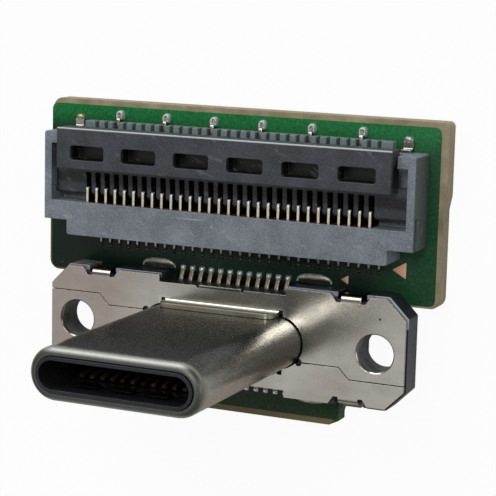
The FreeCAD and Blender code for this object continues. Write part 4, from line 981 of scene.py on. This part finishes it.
def shownToCamera(tree, share, plain, shown, output):
    # the camera's own rays see the shown shader by the given share, and all other rays see the plain one
    rays = tree.nodes.new("ShaderNodeLightPath")
    mix = tree.nodes.new("ShaderNodeMixShader")
    tree.links.new(numberStep(tree, "MULTIPLY", rays.outputs["Is Camera Ray"], share), mix.inputs["Fac"])
    tree.links.new(plain, mix.inputs[1])
    tree.links.new(shown, mix.inputs[2])
    tree.links.new(mix.outputs["Shader"], tree.nodes[output].inputs["Surface"])


def buildFloor():
    # a plain pale floor: the camera sees mostly even white, and a share of paper that takes the soft shadow
    bpy.ops.mesh.primitive_plane_add(size=studio["floorSize"], location=(0, 0, -studio["floorDrop"]))
    floor = bpy.context.object
    floor.name = "floor"
    material = bpy.data.materials.new("floorPaper")
    material.use_nodes = True
    tree = material.node_tree
    paper = tree.nodes["Principled BSDF"]
    paper.inputs["Base Color"].default_value = studio["paper"]
    paper.inputs["Roughness"].default_value = studio["paperRoughness"]
    glow = tree.nodes.new("ShaderNodeEmission")
    glow.inputs["Strength"].default_value = studio["glow"]
    shownToCamera(tree, studio["cameraShare"], paper.outputs["BSDF"], glow.outputs["Emission"],
                  "Material Output")
    floor.data.materials.append(material)


def buildWorld():
    world = bpy.data.worlds.new("studioWorld")
    bpy.context.scene.world = world
    world.use_nodes = True
    tree = world.node_tree
    background = tree.nodes["Background"]
    background.inputs["Color"].default_value = studio["world"]
    pale = tree.nodes.new("ShaderNodeBackground")
    pale.inputs["Color"].default_value = studio["backdrop"]
    shownToCamera(tree, 1.0, background.outputs["Background"], pale.outputs["Background"], "World Output")


# each lamp: the direction it stands in, its distance and the side of its square in metres, and the strength
# of its face
lamps = [
    {"name": "softCard", "towards": (-0.42, -0.36, 0.84), "away": 0.45, "size": 0.34, "glow": 0.6},
    {"name": "keyLamp", "towards": (0.1, 0.4, 0.9), "away": 0.4, "size": 0.13, "glow": 8.5},
    {"name": "overheadLamp", "towards": (-0.35, 0.85, 0.38), "away": 0.4, "size": 0.28, "glow": 3.4},
    {"name": "sideLamp", "towards": (0.9, 0.1, 0.4), "away": 0.4, "size": 0.2, "glow": 1.2},
]


def buildLamps():
    # each lamp is a soft square that looks at the plug's axis
    for lamp in lamps:
        data = bpy.data.lights.new(lamp["name"], "AREA")
        data.size = lamp["size"]
        data.energy = math.pi * lamp["size"] ** 2 * lamp["glow"]
        light = bpy.data.objects.new(lamp["name"], data)
        bpy.context.scene.collection.objects.link(light)
        back = unit(np.array(lamp["towards"]))
        side = unit(np.cross((0, 0, 1), back))
        turn = Matrix(np.column_stack([side, np.cross(back, side), back]).tolist())
        light.matrix_world = Matrix.Translation((back * lamp["away"]).tolist()) @ turn.to_4x4()


# the place is in mm, the turn in degrees about X, Y and Z
camera = {"place": (34.6176, 18.2653, 77.1877), "turn": (-9.053625, 24.222296, 1.514559),
          "focalPixels": 1789.547, "frame": 496, "sensor": 36.0, "clip": (0.001, 10)}


def buildCamera():
    data = bpy.data.cameras.new("camera")
    data.sensor_width = camera["sensor"]
    data.lens = camera["focalPixels"] / camera["frame"] * camera["sensor"]
    data.clip_start, data.clip_end = camera["clip"]
    view = bpy.data.objects.new("camera", data)
    view.location = [value * mm for value in camera["place"]]
    view.rotation_euler = [math.radians(angle) for angle in camera["turn"]]
    bpy.context.scene.collection.objects.link(view)
    bpy.context.scene.camera = view


buildFloor()
buildWorld()
buildLamps()
buildCamera()
bpy.context.scene.view_settings.view_transform = "Standard"
print("studio ready")
